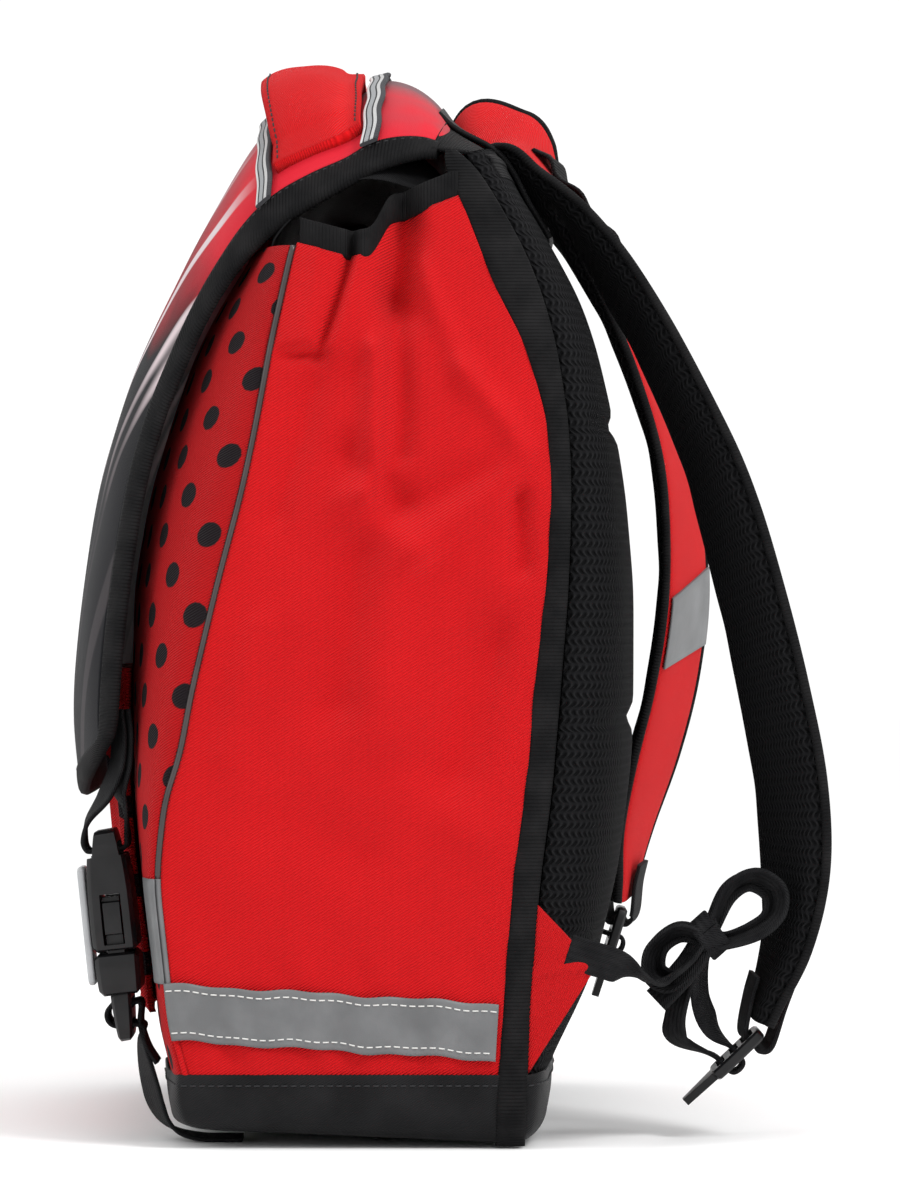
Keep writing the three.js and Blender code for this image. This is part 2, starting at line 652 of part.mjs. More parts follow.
const FLAP_INSIDE = steps(-FLAP_SIDE_SEAM, FLAP_SIDE_SEAM, 12);
const FLAP_WHOLE_ROWS = steps(0, FLAP_LAST - 1, FLAP_LAST - 1);

function makeFlap() {
  const room = 0.01;
  const columns = FLAP_INSIDE.map((share) => share * (1 - room));
  const rows = [...FLAP_WHOLE_ROWS, FLAP_BOTTOM_SEAM - 2.5 * room];
  const outer = gridOf(columns, rows, (share, row) => onFlap(share, row, 0));
  const inner = gridOf(columns, rows, (share, row) => onFlap(share, row, -FLAP_WALL));
  addPiece('flap', wallBody(outer, inner), flapCloth);
}

function makeFlapBinding() {
  const columns = [-1, ...FLAP_INSIDE, 1];
  const rows = [...FLAP_WHOLE_ROWS, FLAP_BOTTOM_SEAM, FLAP_LAST];
  const proud = (FLAP_BINDING_WALL - FLAP_WALL) / 2;
  const outer = gridOf(columns, rows, (share, row) => onFlap(share, row, proud));
  const inner = gridOf(columns, rows, (share, row) => onFlap(share, row, proud - FLAP_BINDING_WALL));
  const isRim = (i, j) => i === 0 || i === columns.length - 2 || j === rows.length - 2;
  addPiece('flap_binding', wallBody(outer, inner, isRim), blackGrosgrain);
}

// Two striped tapes sewn across the flap, one on each side of the handle
const FLAP_SEAT = 2 * CLEARANCE;

function makeFlapTape(name, row) {
  const half = TRIM_TAPE_WIDTH / 2;
  const inside = FLAP_INSIDE.map((share) => share * 0.99);
  const sections = inside.map((share) => {
    const centre = onFlap(share, row, FLAP_SEAT);
    const out = flapOut(share, row);
    const along = onFlap(share, row + 0.2, FLAP_SEAT).sub(onFlap(share, row - 0.2, FLAP_SEAT)).normalize();
    return [[-half, 0], [half, 0], [half, TRIM_TAPE_WALL], [-half, TRIM_TAPE_WALL]].map(([down, lift]) => (
      centre.clone().addScaledVector(along, down).addScaledVector(out, lift)
    ));
  });
  addPiece(name, loftBody(sections), stripedTape);
}

// Carry handle: a padded band across the flap, free of it in the middle
const HANDLE_ROWS = [3.35, 4, 5, 5.9];

function makeHandle() {
  const columns = FLAP_INSIDE.filter((share) => Math.abs(share) < 0.8);
  const reach = columns[columns.length - 1];
  const rear = HANDLE_ROWS[0];
  const front = HANDLE_ROWS[HANDLE_ROWS.length - 1];
  const arch = (share, row) => {
    const lift = mix(HANDLE_REAR_LIFT, HANDLE_LIFT, (row - rear) / (front - rear));
    return lift * Math.max(0, 1 - (share / (0.8 * reach)) ** 4);
  };
  const outer = gridOf(columns, HANDLE_ROWS, (share, row) => (
    onFlap(share, row, FLAP_SEAT + HANDLE_WALL + arch(share, row))
  ));
  const inner = gridOf(columns, HANDLE_ROWS, (share, row) => (
    onFlap(share, row, FLAP_SEAT + arch(share, row))
  ));
  addPiece('handle', wallBody(outer, inner), redTwill);
}

// Yoke: a coated patch over the seam between the flap and the back panel
const YOKE_HALF_WIDTH = 0.56 * (BAG_WIDTH / 2);

function makeYoke() {
  const columns = [-1, -0.75, -0.5, -0.25, 0, 0.25, 0.5, 0.75, 1].map((share) => share * YOKE_HALF_WIDTH);
  const angleOn = (x, halfWidth, rounding) => (
    Math.asin((Math.abs(x) / halfWidth) ** (rounding / 2)) * Math.sign(x)
  );
  const backHalfWidth = (z) => outlineAt(z).halfWidth + 0.6 - BINDING_WALL - CLEARANCE;
  const onBack = (x, z, lift) => backPoint(angleOn(x, backHalfWidth(z), BACK_ROUNDING), z, lift);
  const rowsAt = (x, lift) => {
    const share = angleOn(x, FLAP_WIDTH / 2, FRONT_ROUNDING) / FLAP_RIM_ANGLE;
    return [
      onFlap(share, 0.8, FLAP_SEAT + lift),
      onFlap(share, 0, FLAP_SEAT + lift),
      onBack(x, BACK_TOP, FLAP_SEAT + lift),
      onBack(x, 0.957 * BAG_HEIGHT, FLAP_SEAT + lift),
      onBack(x, 0.925 * BAG_HEIGHT, FLAP_SEAT + lift),
    ];
  };
  const outer = columns.map((x) => rowsAt(x, YOKE_WALL));
  const inner = columns.map((x) => rowsAt(x, 0));
  addPiece('back_yoke', wallBody(outer, inner), coatedCharcoal);
}

// Shoulder straps: a mesh pad towards the wearer and a twill facing with piped edges outside
function strapFrame(side, table) {
  const path = table.map((row) => place(
    side.sign * row.across * (BAG_WIDTH / 2),
    row.depth * BAG_DEPTH,
    row.height * BAG_HEIGHT,
  ));
  const acrossAt = (k) => place(Math.cos(table[k].twist), side.sign * Math.sin(table[k].twist), 0);
  const halfAt = (k) => (table[k].width * STRAP_WIDTH) / 2;
  return { path, acrossAt, halfAt };
}

function makeStrap(side, table) {
  const { path, acrossAt, halfAt } = strapFrame(side, table);
  const pad = stripBody(path, acrossAt, (k) => {
    const half = halfAt(k);
    const soft = half - 6;
    return [
      [-half, 0], [-half, -0.5 * STRAP_PAD], [-soft, -STRAP_PAD],
      [soft, -STRAP_PAD], [half, -0.5 * STRAP_PAD], [half, 0],
    ];
  });
  addPiece(`strap_pad_${side.name}`, pad, blackMesh);
  const facing = stripBody(path, acrossAt, (k) => {
    const half = halfAt(k) - 1;
    const soft = half - 7;
    const low = CLEARANCE;
    return [
      [half, low], [-half, low], [-half, low + 0.5 * STRAP_FACING],
      [-soft, low + STRAP_FACING], [soft, low + STRAP_FACING], [half, low + 0.5 * STRAP_FACING],
    ];
  });
  addPiece(`strap_facing_${side.name}`, facing, redTwill);
}

// Anchor tabs: triangles of twill sewn into the rear seams, where the adjusting webbing starts
const TAB_LOW = TRAY_HEIGHT + 2 * CLEARANCE;
const TAB_HIGH = 0.245 * BAG_HEIGHT;
const TAB_TIP = { depth: 0.742, height: 0.183 };

function makeAnchorTab(side) {
  const outside = outlineAt(TAB_HIGH).halfWidth - 0.6;
  const sections = [outside, outside - ANCHOR_TAB_WALL].map((x) => [
    ...heightsBetween(TAB_LOW, TAB_HIGH).map((z) => (
      place(side.sign * x, outlineAt(z).edge + CLEARANCE, z)
    )),
    place(side.sign * x, TAB_TIP.depth * BAG_DEPTH, TAB_TIP.height * BAG_HEIGHT),
  ]);
  addPiece(`anchor_tab_${side.name}`, loftBody(sections), redTwill);
}

// Hardware frame: u across the bag, v out of the hardware's face and w along it, from its origin.
function hardwareFrame(origin, along, out) {
  const across = out.clone().cross(along).normalize();
  const matrix = new THREE.Matrix4().makeBasis(across, out, along).setPosition(origin);
  return {
    matrix,
    at: (u, v, w) => place(u, v, w).applyMatrix4(matrix),
  };
}

function cutBlocks(body, blocks) {
  let solid = solidOf(body);
  for (const block of blocks) {
    solid = solid.subtract(solidOf(block));
  }
  return solid;
}

// A plate with rounded corners in u and w, and its thickness in v
function roundedPlate(width, length, thickness, radius, bevel) {
  const x = width / 2 - bevel;
  const y = length / 2 - bevel;
  const r = radius;
  const shape = new THREE.Shape();
  shape.moveTo(-x + r, -y);
  shape.lineTo(x - r, -y);
  shape.quadraticCurveTo(x, -y, x, -y + r);
  shape.lineTo(x, y - r);
  shape.quadraticCurveTo(x, y, x - r, y);
  shape.lineTo(-x + r, y);
  shape.quadraticCurveTo(-x, y, -x, y - r);
  shape.lineTo(-x, -y + r);
  shape.quadraticCurveTo(-x, -y, -x + r, -y);
  const plate = new THREE.ExtrudeGeometry(shape, {
    depth: thickness - 2 * bevel,
    bevelEnabled: bevel > 0,
    bevelThickness: bevel,
    bevelSize: bevel,
    bevelSegments: 1,
    curveSegments: 2,
  });
  return plate.translate(0, 0, bevel - thickness / 2).rotateX(Math.PI / 2);
}

// Ladder locks: a framed plate with a slot for the strap's loop and two for the webbing
const LOCK_WIDTH = 26;
const LOCK_LENGTH = 23;
const LOCK_WALL = 4;
const LOCK_TONGUE = 14;
const LOCK_SLOT = 3.6;
const LOOP_WIDTH = 17;
const LOOP_SLOT_AT = 5.1;
const LOOP_SLOT = 5.4;
const SLOT_IN_AT = 11.5;
const SLOT_OUT_AT = 18;

function makeLadderLock(side, frame) {
  const plate = roundedPlate(LOCK_WIDTH, LOCK_LENGTH, LOCK_WALL, 3, 0.8).translate(0, 0, LOCK_LENGTH / 2);
  const tongue = new THREE.Shape();
  tongue.moveTo(-LOCK_WIDTH / 3, LOCK_LENGTH - 1);
  tongue.lineTo(LOCK_WIDTH / 3, LOCK_LENGTH - 1);
  tongue.lineTo(LOCK_WIDTH / 8, LOCK_LENGTH + LOCK_TONGUE);
  tongue.lineTo(-LOCK_WIDTH / 8, LOCK_LENGTH + LOCK_TONGUE);
  const tongueBody = new THREE.ExtrudeGeometry(tongue, { depth: 0.7 * LOCK_WALL, bevelEnabled: false });
  tongueBody.translate(0, 0, -0.35 * LOCK_WALL).rotateX(Math.PI / 2);
  const slots = [
    [LOOP_SLOT_AT, LOOP_SLOT], [SLOT_IN_AT, LOCK_SLOT], [SLOT_OUT_AT, LOCK_SLOT],
  ].map(([w, opening]) => (
    blockAt(place(0, 0, w), place(LOOP_WIDTH + 2, 3 * LOCK_WALL, opening))
  ));
  const solid = cutBlocks(plate, slots).add(solidOf(tongueBody));
  addPiece(`ladder_lock_${side.name}`, geometryOf(solid).applyMatrix4(frame.matrix), blackPlastic);
}

// The end of a shoulder strap, its ladder lock and the loop that holds it there
const LOCK_DROP = 10;

function strapEnd(side, table, forward) {
  const { path, acrossAt } = strapFrame(side, table);
  const frames = stripFrames(path, acrossAt);
  const end = frames[frames.length - 1];
  const before = path[path.length - 2];
  const along = end.centre.clone().sub(before).normalize();
  const down = place(0, -Math.cos(forward), -Math.sin(forward));
  const out = place(0, -Math.sin(forward), Math.cos(forward));
  const origin = end.centre.clone().addScaledVector(along, LOCK_DROP);
  return { end, along, lock: hardwareFrame(origin, down, out) };
}

function makeStrapLoop(side, { end, along, lock }) {
  const near = CLEARANCE + WEBBING_WALL / 2;
  const beside = (out, back) => (
    end.centre.clone().addScaledVector(end.out, out).addScaledVector(along, -back)
  );
  const path = [
    beside(-STRAP_PAD - near - 1, 9),
    beside(-STRAP_PAD - near - 0.6, 0),
    lock.at(0, 4, LOOP_SLOT_AT - 0.2),
    lock.at(0, 0, LOOP_SLOT_AT),
    lock.at(0, -4, LOOP_SLOT_AT - 0.2),
    lock.at(0, -5.4, 0.8),
    beside(CLEARANCE + STRAP_FACING + near + 0.6, 0),
    beside(CLEARANCE + STRAP_FACING + near + 1, 9),
  ];
  const loop = webbingBody(path, LOOP_WIDTH, end.across);
  addPiece(`strap_loop_${side.name}`, loop, blackGrosgrain);
}

// Adjusting webbing. Each route point has shares of half of BAG_WIDTH, BAG_DEPTH and BAG_HEIGHT.
const ADJUST_WIDTH = 12;
const BOW_LOOP = 27;
const KNOT = { across: 0.843, depth: 1.08, height: 0.211 };
const TO_KNOT = [
  { across: 0.975, depth: 0.86, height: 0.174 },
  { across: 0.907, depth: 0.933, height: 0.166 },
  { across: 0.864, depth: 1.017, height: 0.183 },
  { across: 0.843, depth: 1.071, height: 0.206 },
];
const KNOT_TO_LOCK = [
  { across: 0.843, depth: 1.08, height: 0.209 },
  { across: 0.821, depth: 1.054, height: 0.18 },
  { across: 0.771, depth: 1.058, height: 0.143 },
  { across: 0.721, depth: 1.092, height: 0.117 },
];
const LOCK_TO_KNOT = [
  { across: 0.721, depth: 1, height: 0.1 },
  { across: 0.764, depth: 0.983, height: 0.119 },
  { across: 0.8, depth: 0.996, height: 0.146 },
  { across: 0.829, depth: 1.033, height: 0.183 },
  { across: 0.843, depth: 1.075, height: 0.209 },
];
// Loops of the bow from the knot, as shares of BOW_LOOP
const BOW_BACK = [
  { depth: 0.01, height: 0.04 }, { depth: 0.27, height: 0.59 }, { depth: 0.59, height: 0.78 },
  { depth: 0.89, height: 0.61 }, { depth: 0.89, height: 0.3 }, { depth: 0.64, height: 0.07 },
  { depth: 0.24, height: -0.07 }, { depth: 0.01, height: -0.04 },
];
const BOW_FRONT = [
  { depth: -0.06, height: -0.04 }, { depth: -0.43, height: 0.04 }, { depth: -0.74, height: -0.19 },
  { depth: -0.76, height: -0.52 }, { depth: -0.5, height: -0.63 }, { depth: -0.21, height: -0.37 },
  { depth: -0.06, height: -0.11 },
];

function shared(side, row) {
  return place(
    side.sign * row.across * (BAG_WIDTH / 2),
    row.depth * BAG_DEPTH,
    row.height * BAG_HEIGHT,
  );
}

function onTab(side, depth, height) {
  const x = outlineAt(TAB_HIGH).halfWidth - 0.6 + CLEARANCE + WEBBING_WALL / 2;
  return place(side.sign * x, depth * BAG_DEPTH, height * BAG_HEIGHT);
}

// Down through one slot of the ladder lock, round its bar and up through the other
function throughLock(lock) {
  return [
    lock.at(0, 5, SLOT_IN_AT), lock.at(0, 0, SLOT_IN_AT), lock.at(0, -3.6, SLOT_IN_AT + 0.6),
    lock.at(0, -4.6, (SLOT_IN_AT + SLOT_OUT_AT) / 2),
    lock.at(0, -3.6, SLOT_OUT_AT - 0.6), lock.at(0, 0, SLOT_OUT_AT), lock.at(0, 5, SLOT_OUT_AT + 0.3),
  ];
}

function twistedWebbing(path, firstAcross, turnedBy) {
  const half = ADJUST_WIDTH / 2;
  const wall = WEBBING_WALL / 2;
  const section = [[-half, -wall], [half, -wall], [half, wall], [-half, wall]];
  return stripBody(path, (k) => (
    firstAcross.clone().lerp(SIDEWAYS, Math.min(1, Math.max(0, (k - 2) / (turnedBy - 2))))
  ), () => section);
}

function makeBowWebbing(side, lock) {
  const knot = shared(side, KNOT);
  const fromTab = [onTab(side, 0.6, 0.204), onTab(side, 0.68, 0.197), onTab(side, 0.775, 0.186)];
  const anchor = twistedWebbing(
    [...fromTab, ...TO_KNOT.map((row) => shared(side, row))], place(0, 0.3, 0.95), 6,
  );
  const strands = webbingBody([
    ...KNOT_TO_LOCK.map((row) => shared(side, row)),
    ...throughLock(lock),
    ...LOCK_TO_KNOT.map((row) => shared(side, row)),
  ], ADJUST_WIDTH);
  const loops = [BOW_BACK, BOW_FRONT].map((rows) => webbingBody(rows.map((row) => (
    knot.clone().add(place(0, row.depth * BOW_LOOP, row.height * BOW_LOOP))
  )), ADJUST_WIDTH));
  const wrap = new THREE.SphereGeometry(1, 10, 6).scale(0.62 * ADJUST_WIDTH, 5.5, 5).translate(
    knot.x, knot.y, knot.z,
  );
  let solid = solidOf(wrap);
  for (const body of [anchor, strands, ...loops]) {
    solid = solid.add(solidOf(body));
  }
  addPiece(`adjust_webbing_${side.name}`, geometryOf(solid), blackGrosgrain);
}

function makePlainWebbing(side, lock) {
  const tail = [[0, 7, 26], [0, 7.5, 36], [0, 7, 46]].map((point) => lock.at(...point));
  const fromTab = [onTab(side, 0.6, 0.204), onTab(side, 0.68, 0.197), onTab(side, 0.775, 0.19)];
  const toLock = [{ across: 0.93, depth: 0.815, height: 0.195 }, { across: 0.88, depth: 0.79, height: 0.19 }];
  const path = [...fromTab, ...toLock.map((row) => shared(side, row)), ...throughLock(lock), ...tail];
  addPiece(`adjust_webbing_${side.name}`, twistedWebbing(path, place(0, 0.3, 0.95), 4), blackGrosgrain);
}

// Side-release buckles, hanging from the flap and pulled down to the base
const BUCKLE_LEAN = 0.105;
const BUCKLE_FOOT = { depth: -0.671, height: 0.194 };
const BUCKLE_BAR = 4.6;
const BUCKLE_SLOT = 5;
const SHOULDER = 15;
const LADDER = 18;
const PRONG = 20;

function buckleFrame(side) {
  const origin = place(
    side.sign * BUCKLE_CENTRE, BUCKLE_FOOT.depth * BAG_DEPTH, BUCKLE_FOOT.height * BAG_HEIGHT,
  );
  const up = place(0, -Math.sin(BUCKLE_LEAN), Math.cos(BUCKLE_LEAN));
  const back = place(0, Math.cos(BUCKLE_LEAN), Math.sin(BUCKLE_LEAN));
  return hardwareFrame(origin, up, back);
}

function makeBuckle(side, frame) {
  const barAt = BUCKLE_LENGTH - BUCKLE_BAR;
  const slotAt = barAt - BUCKLE_SLOT / 2;
  const thin = 0.36 * BUCKLE_DEPTH;
  const room = CLEARANCE + 0.2;
  const prongIn = 0.17 * BUCKLE_WIDTH;
  const prongOut = 0.38 * BUCKLE_WIDTH;
  const body = roundedPlate(BUCKLE_WIDTH, BUCKLE_LENGTH, BUCKLE_DEPTH, 3, 1.6).translate(
    0, 0, BUCKLE_LENGTH / 2,
  );
  const cuts = [
    blockAt(place(0, 0, slotAt), place(WEBBING_WIDTH + 2, 2 * BUCKLE_DEPTH, BUCKLE_SLOT)),
    blockAt(place(0, 0, 0.5 * PRONG), place(2 * prongOut + 2 * room, 7.4, PRONG + 6)),
  ];
  for (const turn of [-1, 1]) {
    cuts.push(blockAt(
      place(turn * 0.5 * BUCKLE_WIDTH, 0, 0.58 * PRONG), place(0.5 * BUCKLE_WIDTH, 7.4, 0.9 * PRONG),
    ));
    cuts.push(blockAt(
      place(0, turn * (thin + 10), slotAt + 10 - 0.4 * BUCKLE_SLOT), place(2 * BUCKLE_WIDTH, 20, 20),
    ));
  }
  const female = geometryOf(cutBlocks(body, cuts)).applyMatrix4(frame.matrix);
  addPiece(`buckle_female_${side.name}`, female, blackPlastic);

  const shoulderAt = -CLEARANCE - SHOULDER / 2;
  const shoulder = roundedPlate(BUCKLE_WIDTH, SHOULDER, BUCKLE_DEPTH, 2.5, 1.6).translate(0, 0, shoulderAt);
  const ladderAt = -CLEARANCE - SHOULDER - LADDER / 2 + 1.5;
  const ladder = roundedPlate(0.92 * BUCKLE_WIDTH, LADDER, 0.5 * BUCKLE_DEPTH, 3, 1.2).translate(0, 0, ladderAt);
  const slots = [0.22, -0.2].map((share) => (
    blockAt(place(0, 0, ladderAt + share * LADDER), place(WEBBING_WIDTH + 1.6, BUCKLE_DEPTH, 3.8))
  ));
  let solid = cutBlocks(ladder, slots).add(solidOf(shoulder));
  for (const turn of [-1, 1]) {
    const prong = blockAt(
      place(turn * (prongIn + prongOut) / 2, 0, PRONG / 2 - 2), place(prongOut - prongIn, 6, PRONG + 3),
    );
    const thumb = roundedPlate(0.16 * BUCKLE_WIDTH, 0.6 * PRONG, 6, 1.8, 0).translate(
      turn * (0.5 * BUCKLE_WIDTH - 0.1 * BUCKLE_WIDTH), 0, 0.6 * PRONG,
    );
    solid = solid.add(solidOf(prong)).add(solidOf(thumb));
  }
  addPiece(`buckle_male_${side.name}`, geometryOf(solid).applyMatrix4(frame.matrix), blackPlastic);

  const plateWall = 2.6;
  const plateTop = slotAt - BUCKLE_SLOT;
  const plateLow = -0.75 * SHOULDER;
  const plate = roundedPlate(0.74 * BUCKLE_WIDTH, plateTop - plateLow, plateWall, 3, 0.6).translate(
    0, -BUCKLE_DEPTH / 2 - CLEARANCE - plateWall / 2, (plateTop + plateLow) / 2,
  );
  addPiece(`buckle_reflector_${side.name}`, plate.applyMatrix4(frame.matrix), greyReflector);
  return { slotAt, ladderIn: ladderAt + 0.22 * LADDER, ladderOut: ladderAt - 0.2 * LADDER };
}

// Webbing from inside the flap, down round the buckle's upper bar and back up inside the flap
function makeFlapWebbing(side, frame, slotAt) {
  const bar = 0.36 * BUCKLE_DEPTH + CLEARANCE + WEBBING_WALL;
  const path = [
    [8.2, 85], [8.2, 75], [6.4, 65], [1, 55], [-bar + 2, 47],
    [-bar, slotAt + BUCKLE_BAR], [-bar + 0.6, slotAt + 1], [-bar + 3, slotAt], [bar - 3, slotAt],
    [bar - 0.6, slotAt + 1], [bar, slotAt + BUCKLE_BAR], [bar, 50], [6.4, 57],
    [9, 65], [10.6, 75], [10.6, 85],
  ].map(([v, w]) => frame.at(0, v, w));
  addPiece(`flap_webbing_${side.name}`, webbingBody(path), blackGrosgrain);
}

// Webbing from the foot seam to the male half, round its ladder bar and out as a loose tail that
// runs under the lifted edge of the base
const BASE_WEBBING_FOOT = [
  { depth: -0.552, height: 0.08 }, { depth: -0.582, height: 0.097 }, { depth: -0.602, height: 0.12 },
];
const TAIL = [
  { depth: -0.6, height: 0.102 }, { depth: -0.59, height: 0.08 }, { depth: -0.575, height: 0.057 },
  { depth: -0.558, height: 0.037 }, { depth: -0.53, height: 0.02 }, { depth: -0.485, height: 0.0085 },
  { depth: -0.42, height: 0.0034 }, { depth: -0.36, height: 0.0029 }, { depth: -0.3, height: 0.0029 },
];

function makeBaseWebbing(side, frame, { ladderIn, ladderOut }) {
  const across = BUCKLE_CENTRE / (BAG_WIDTH / 2);
  const onRoute = (row) => shared(side, { across, ...row });
  const through = [
    [6.4, ladderIn - 0.4], [3, ladderIn], [-3, ladderIn], [-5.6, (ladderIn + ladderOut) / 2 + 1.6],
    [-5.6, (ladderIn + ladderOut) / 2 - 1.6], [-3, ladderOut], [3, ladderOut], [6.6, ladderOut - 1.4],
  ].map(([v, w]) => frame.at(0, v, w));
  const path = [...BASE_WEBBING_FOOT.map(onRoute), ...through, ...TAIL.map(onRoute)];
  addPiece(`base_webbing_${side.name}`, webbingBody(path), blackGrosgrain);
}

makeFrontPanel();
makeFrontPocket();
makeBaseTray();
makeBackPanel();
for (const side of SIDES) {
  makeFrontReflector(side);
  makeCornerPiping(side);
  makeSidePanel(side);
  makeMouthBinding(side);
  makeSideReflector(side);
  makeBackBinding(side);
}
makeFlap();
makeFlapBinding();
makeFlapTape('flap_tape_front', 6.25);
makeFlapTape('flap_tape_rear', 3);
makeHandle();
makeYoke();
makeStrap(SIDES[0], RIGHT_STRAP);
makeStrap(SIDES[1], LEFT_STRAP);
const STRAP_ENDS = [
  { side: SIDES[0], table: RIGHT_STRAP, forward: 0.76, makeWebbing: makeBowWebbing },
  { side: SIDES[1], table: LEFT_STRAP, forward: 1.27, makeWebbing: makePlainWebbing },
];
for (const { side, table, forward, makeWebbing } of STRAP_ENDS) {
  const end = strapEnd(side, table, forward);
  makeAnchorTab(side);
  makeLadderLock(side, end.lock);
  makeStrapLoop(side, end);
  makeWebbing(side, end.lock);
}
for (const side of SIDES) {
  const frame = buckleFrame(side);
  const slots = makeBuckle(side, frame);
  makeFlapWebbing(side, frame, slots.slotAt);
  makeBaseWebbing(side, frame, slots);
}

export default ransel;
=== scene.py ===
import math

import bmesh
import bpy
import numpy as np
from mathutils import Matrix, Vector


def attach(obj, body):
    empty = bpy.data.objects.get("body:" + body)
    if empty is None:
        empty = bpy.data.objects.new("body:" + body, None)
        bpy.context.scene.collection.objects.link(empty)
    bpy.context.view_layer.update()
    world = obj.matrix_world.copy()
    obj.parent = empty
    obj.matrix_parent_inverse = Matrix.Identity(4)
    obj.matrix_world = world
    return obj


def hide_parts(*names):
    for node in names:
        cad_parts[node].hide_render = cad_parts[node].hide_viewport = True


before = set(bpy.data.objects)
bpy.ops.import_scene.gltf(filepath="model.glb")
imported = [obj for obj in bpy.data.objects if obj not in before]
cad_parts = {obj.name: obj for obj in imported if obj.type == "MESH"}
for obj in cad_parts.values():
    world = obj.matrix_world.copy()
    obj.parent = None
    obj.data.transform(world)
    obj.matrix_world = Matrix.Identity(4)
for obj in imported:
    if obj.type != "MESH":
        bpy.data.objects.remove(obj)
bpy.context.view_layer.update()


# Camera, floor and light.
# The bag is seen square from its right side through a long lens at half its height, on a white floor.
# One soft light stands above it on the side of the straps, with weaker ones before the flap and overhead.
VIEW_DISTANCE = 2.1
VIEW_DEPTH = 0.0378
VIEW_HEIGHT = 0.1925
VIEW_LENS = 224.0

lens = bpy.data.cameras.new("view_lens")
lens.sensor_fit = "HORIZONTAL"
lens.sensor_width = 36.0
lens.lens = VIEW_LENS
camera = bpy.data.objects.new("view_camera", lens)
camera.location = (VIEW_DISTANCE, VIEW_DEPTH, VIEW_HEIGHT)
camera.rotation_euler = (math.radians(90), 0, math.radians(90))
bpy.context.scene.collection.objects.link(camera)
bpy.context.scene.camera = camera

bpy.ops.mesh.primitive_plane_add(size=14, location=(0, 0, 0))
floor = bpy.context.object
floor.name = "studio_floor"
paper = bpy.data.materials.new("white_paper")
paper.use_nodes = True
for name, value in (("Base Color", (0.95, 0.95, 0.95, 1)), ("Roughness", 0.9), ("Specular IOR Level", 0.0)):
    paper.node_tree.nodes["Principled BSDF"].inputs[name].default_value = value
floor.data.materials.append(paper)

world = bpy.data.worlds.new("studio_air")
world.use_nodes = True
world.node_tree.nodes["Background"].inputs["Color"].default_value = (1, 1, 1, 1)
world.node_tree.nodes["Background"].inputs["Strength"].default_value = 1.06
bpy.context.scene.world = world
bpy.context.scene.view_settings.view_transform = "Standard"


def soft_light(name, place, aim, size, power):
    lamp = bpy.data.lights.new(name, "AREA")
    lamp.size = size
    lamp.energy = power
    holder = bpy.data.objects.new(name, lamp)
    holder.location = place
    holder.rotation_euler = (Vector(aim) - Vector(place)).to_track_quat("-Z", "Y").to_euler()
    bpy.context.scene.collection.objects.link(holder)


soft_light("key_light", (0.9, 0.9, 1.25), (0, 0, 0.2), 0.45, 13)
soft_light("fill_light", (0.9, -1.3, 0.7), (0, 0, 0.2), 0.6, 2.5)
soft_light("top_light", (0.3, -0.1, 1.6), (0, 0, 0.2), 0.6, 4)


# Front panel.
# Polka-dot twill cut as one sheet, rounded over the front of the bag and sewn to the side panels with
# a piped seam. Its outline and the helpers for cloth sheets are made here.
BAG_HEIGHT = 0.350
BAG_DEPTH = 0.120
BAG_WIDTH = 0.280
TRAY_HEIGHT = 0.025
PIPING = 0.0022
TWILL_WALL = 0.0024
FRONT_ROUNDING = 2.4
FRONT_TOP = 0.906 * BAG_HEIGHT
DOT_ROW = 0.0142
DOT_RADIUS = 0.0047
DOT_FUZZ = 0.0006
RED = (0.720, 0.006, 0.009, 1)
DEEP_RED = (0.665, 0.005, 0.008, 1)
# Painted shade: the darker red blended into the twill's furrows, and over the whole front cloth.
SHADE_RED = (0.338, 0.002, 0.004, 1)
DOT_BLACK = (0.010, 0.006, 0.008, 1)

# height share, then corner seam, front, binding edges and back as shares of the depth, and the width
OUTLINE = np.array([
    (0.000, -0.42, -0.500, 0.452, 0.530, 0.560, 1.0),
    (0.069, -0.450, -0.533, 0.458, 0.538, 0.608, 1.0),
    (0.120, -0.496, -0.572, 0.467, 0.542, 0.692, 1.0),
    (0.166, -0.508, -0.575, 0.475, 0.550, 0.758, 1.0),
    (0.271, -0.542, -0.617, 0.500, 0.575, 0.833, 1.0),
    (0.354, -0.517, -0.650, 0.533, 0.608, 0.863, 1.0),
    (0.389, -0.475, -0.658, 0.546, 0.617, 0.875, 1.0),
    (0.454, -0.442, -0.667, 0.558, 0.633, 0.879, 1.0),
    (0.563, -0.367, -0.658, 0.596, 0.658, 0.879, 1.0),
    (0.660, -0.292, -0.608, 0.613, 0.667, 0.854, 1.0),
    (0.729, -0.250, -0.550, 0.600, 0.658, 0.821, 0.993),
    (0.809, -0.208, -0.467, 0.533, 0.621, 0.767, 0.979),
    (0.860, -0.175, -0.383, 0.450, 0.579, 0.717, 0.968),
    (0.906, -0.146, -0.283, 0.400, 0.525, 0.642, 0.957),
    (0.957, -0.100, -0.208, 0.342, 0.442, 0.558, 0.943),
    (1.006, -0.067, -0.150, 0.275, 0.350, 0.450, 0.914),
])
OUTLINE_COLUMNS = {"seam": 1, "front": 2, "binding": 3, "edge": 4, "back": 5, "width": 6}


def eased(knots, values, reach, count=600):
    """A smooth run through knots: linear between them, then rounded over the reach."""
    dense = np.linspace(knots[0], knots[-1], count)
    line = np.interp(dense, knots, values)
    step = dense[1] - dense[0]
    half = max(1, int(3 * reach / step))
    kernel = np.exp(-0.5 * (np.arange(-half, half + 1) * step / reach) ** 2)
    kernel /= kernel.sum()
    left = 2 * line[0] - line[half:0:-1]
    right = 2 * line[-1] - line[-2:-half - 2:-1]
    return dense, np.convolve(np.concatenate([left, line, right]), kernel, mode="valid")


outline_runs = {
    name: eased(OUTLINE[:, 0], OUTLINE[:, column], 0.018) for name, column in OUTLINE_COLUMNS.items()
}


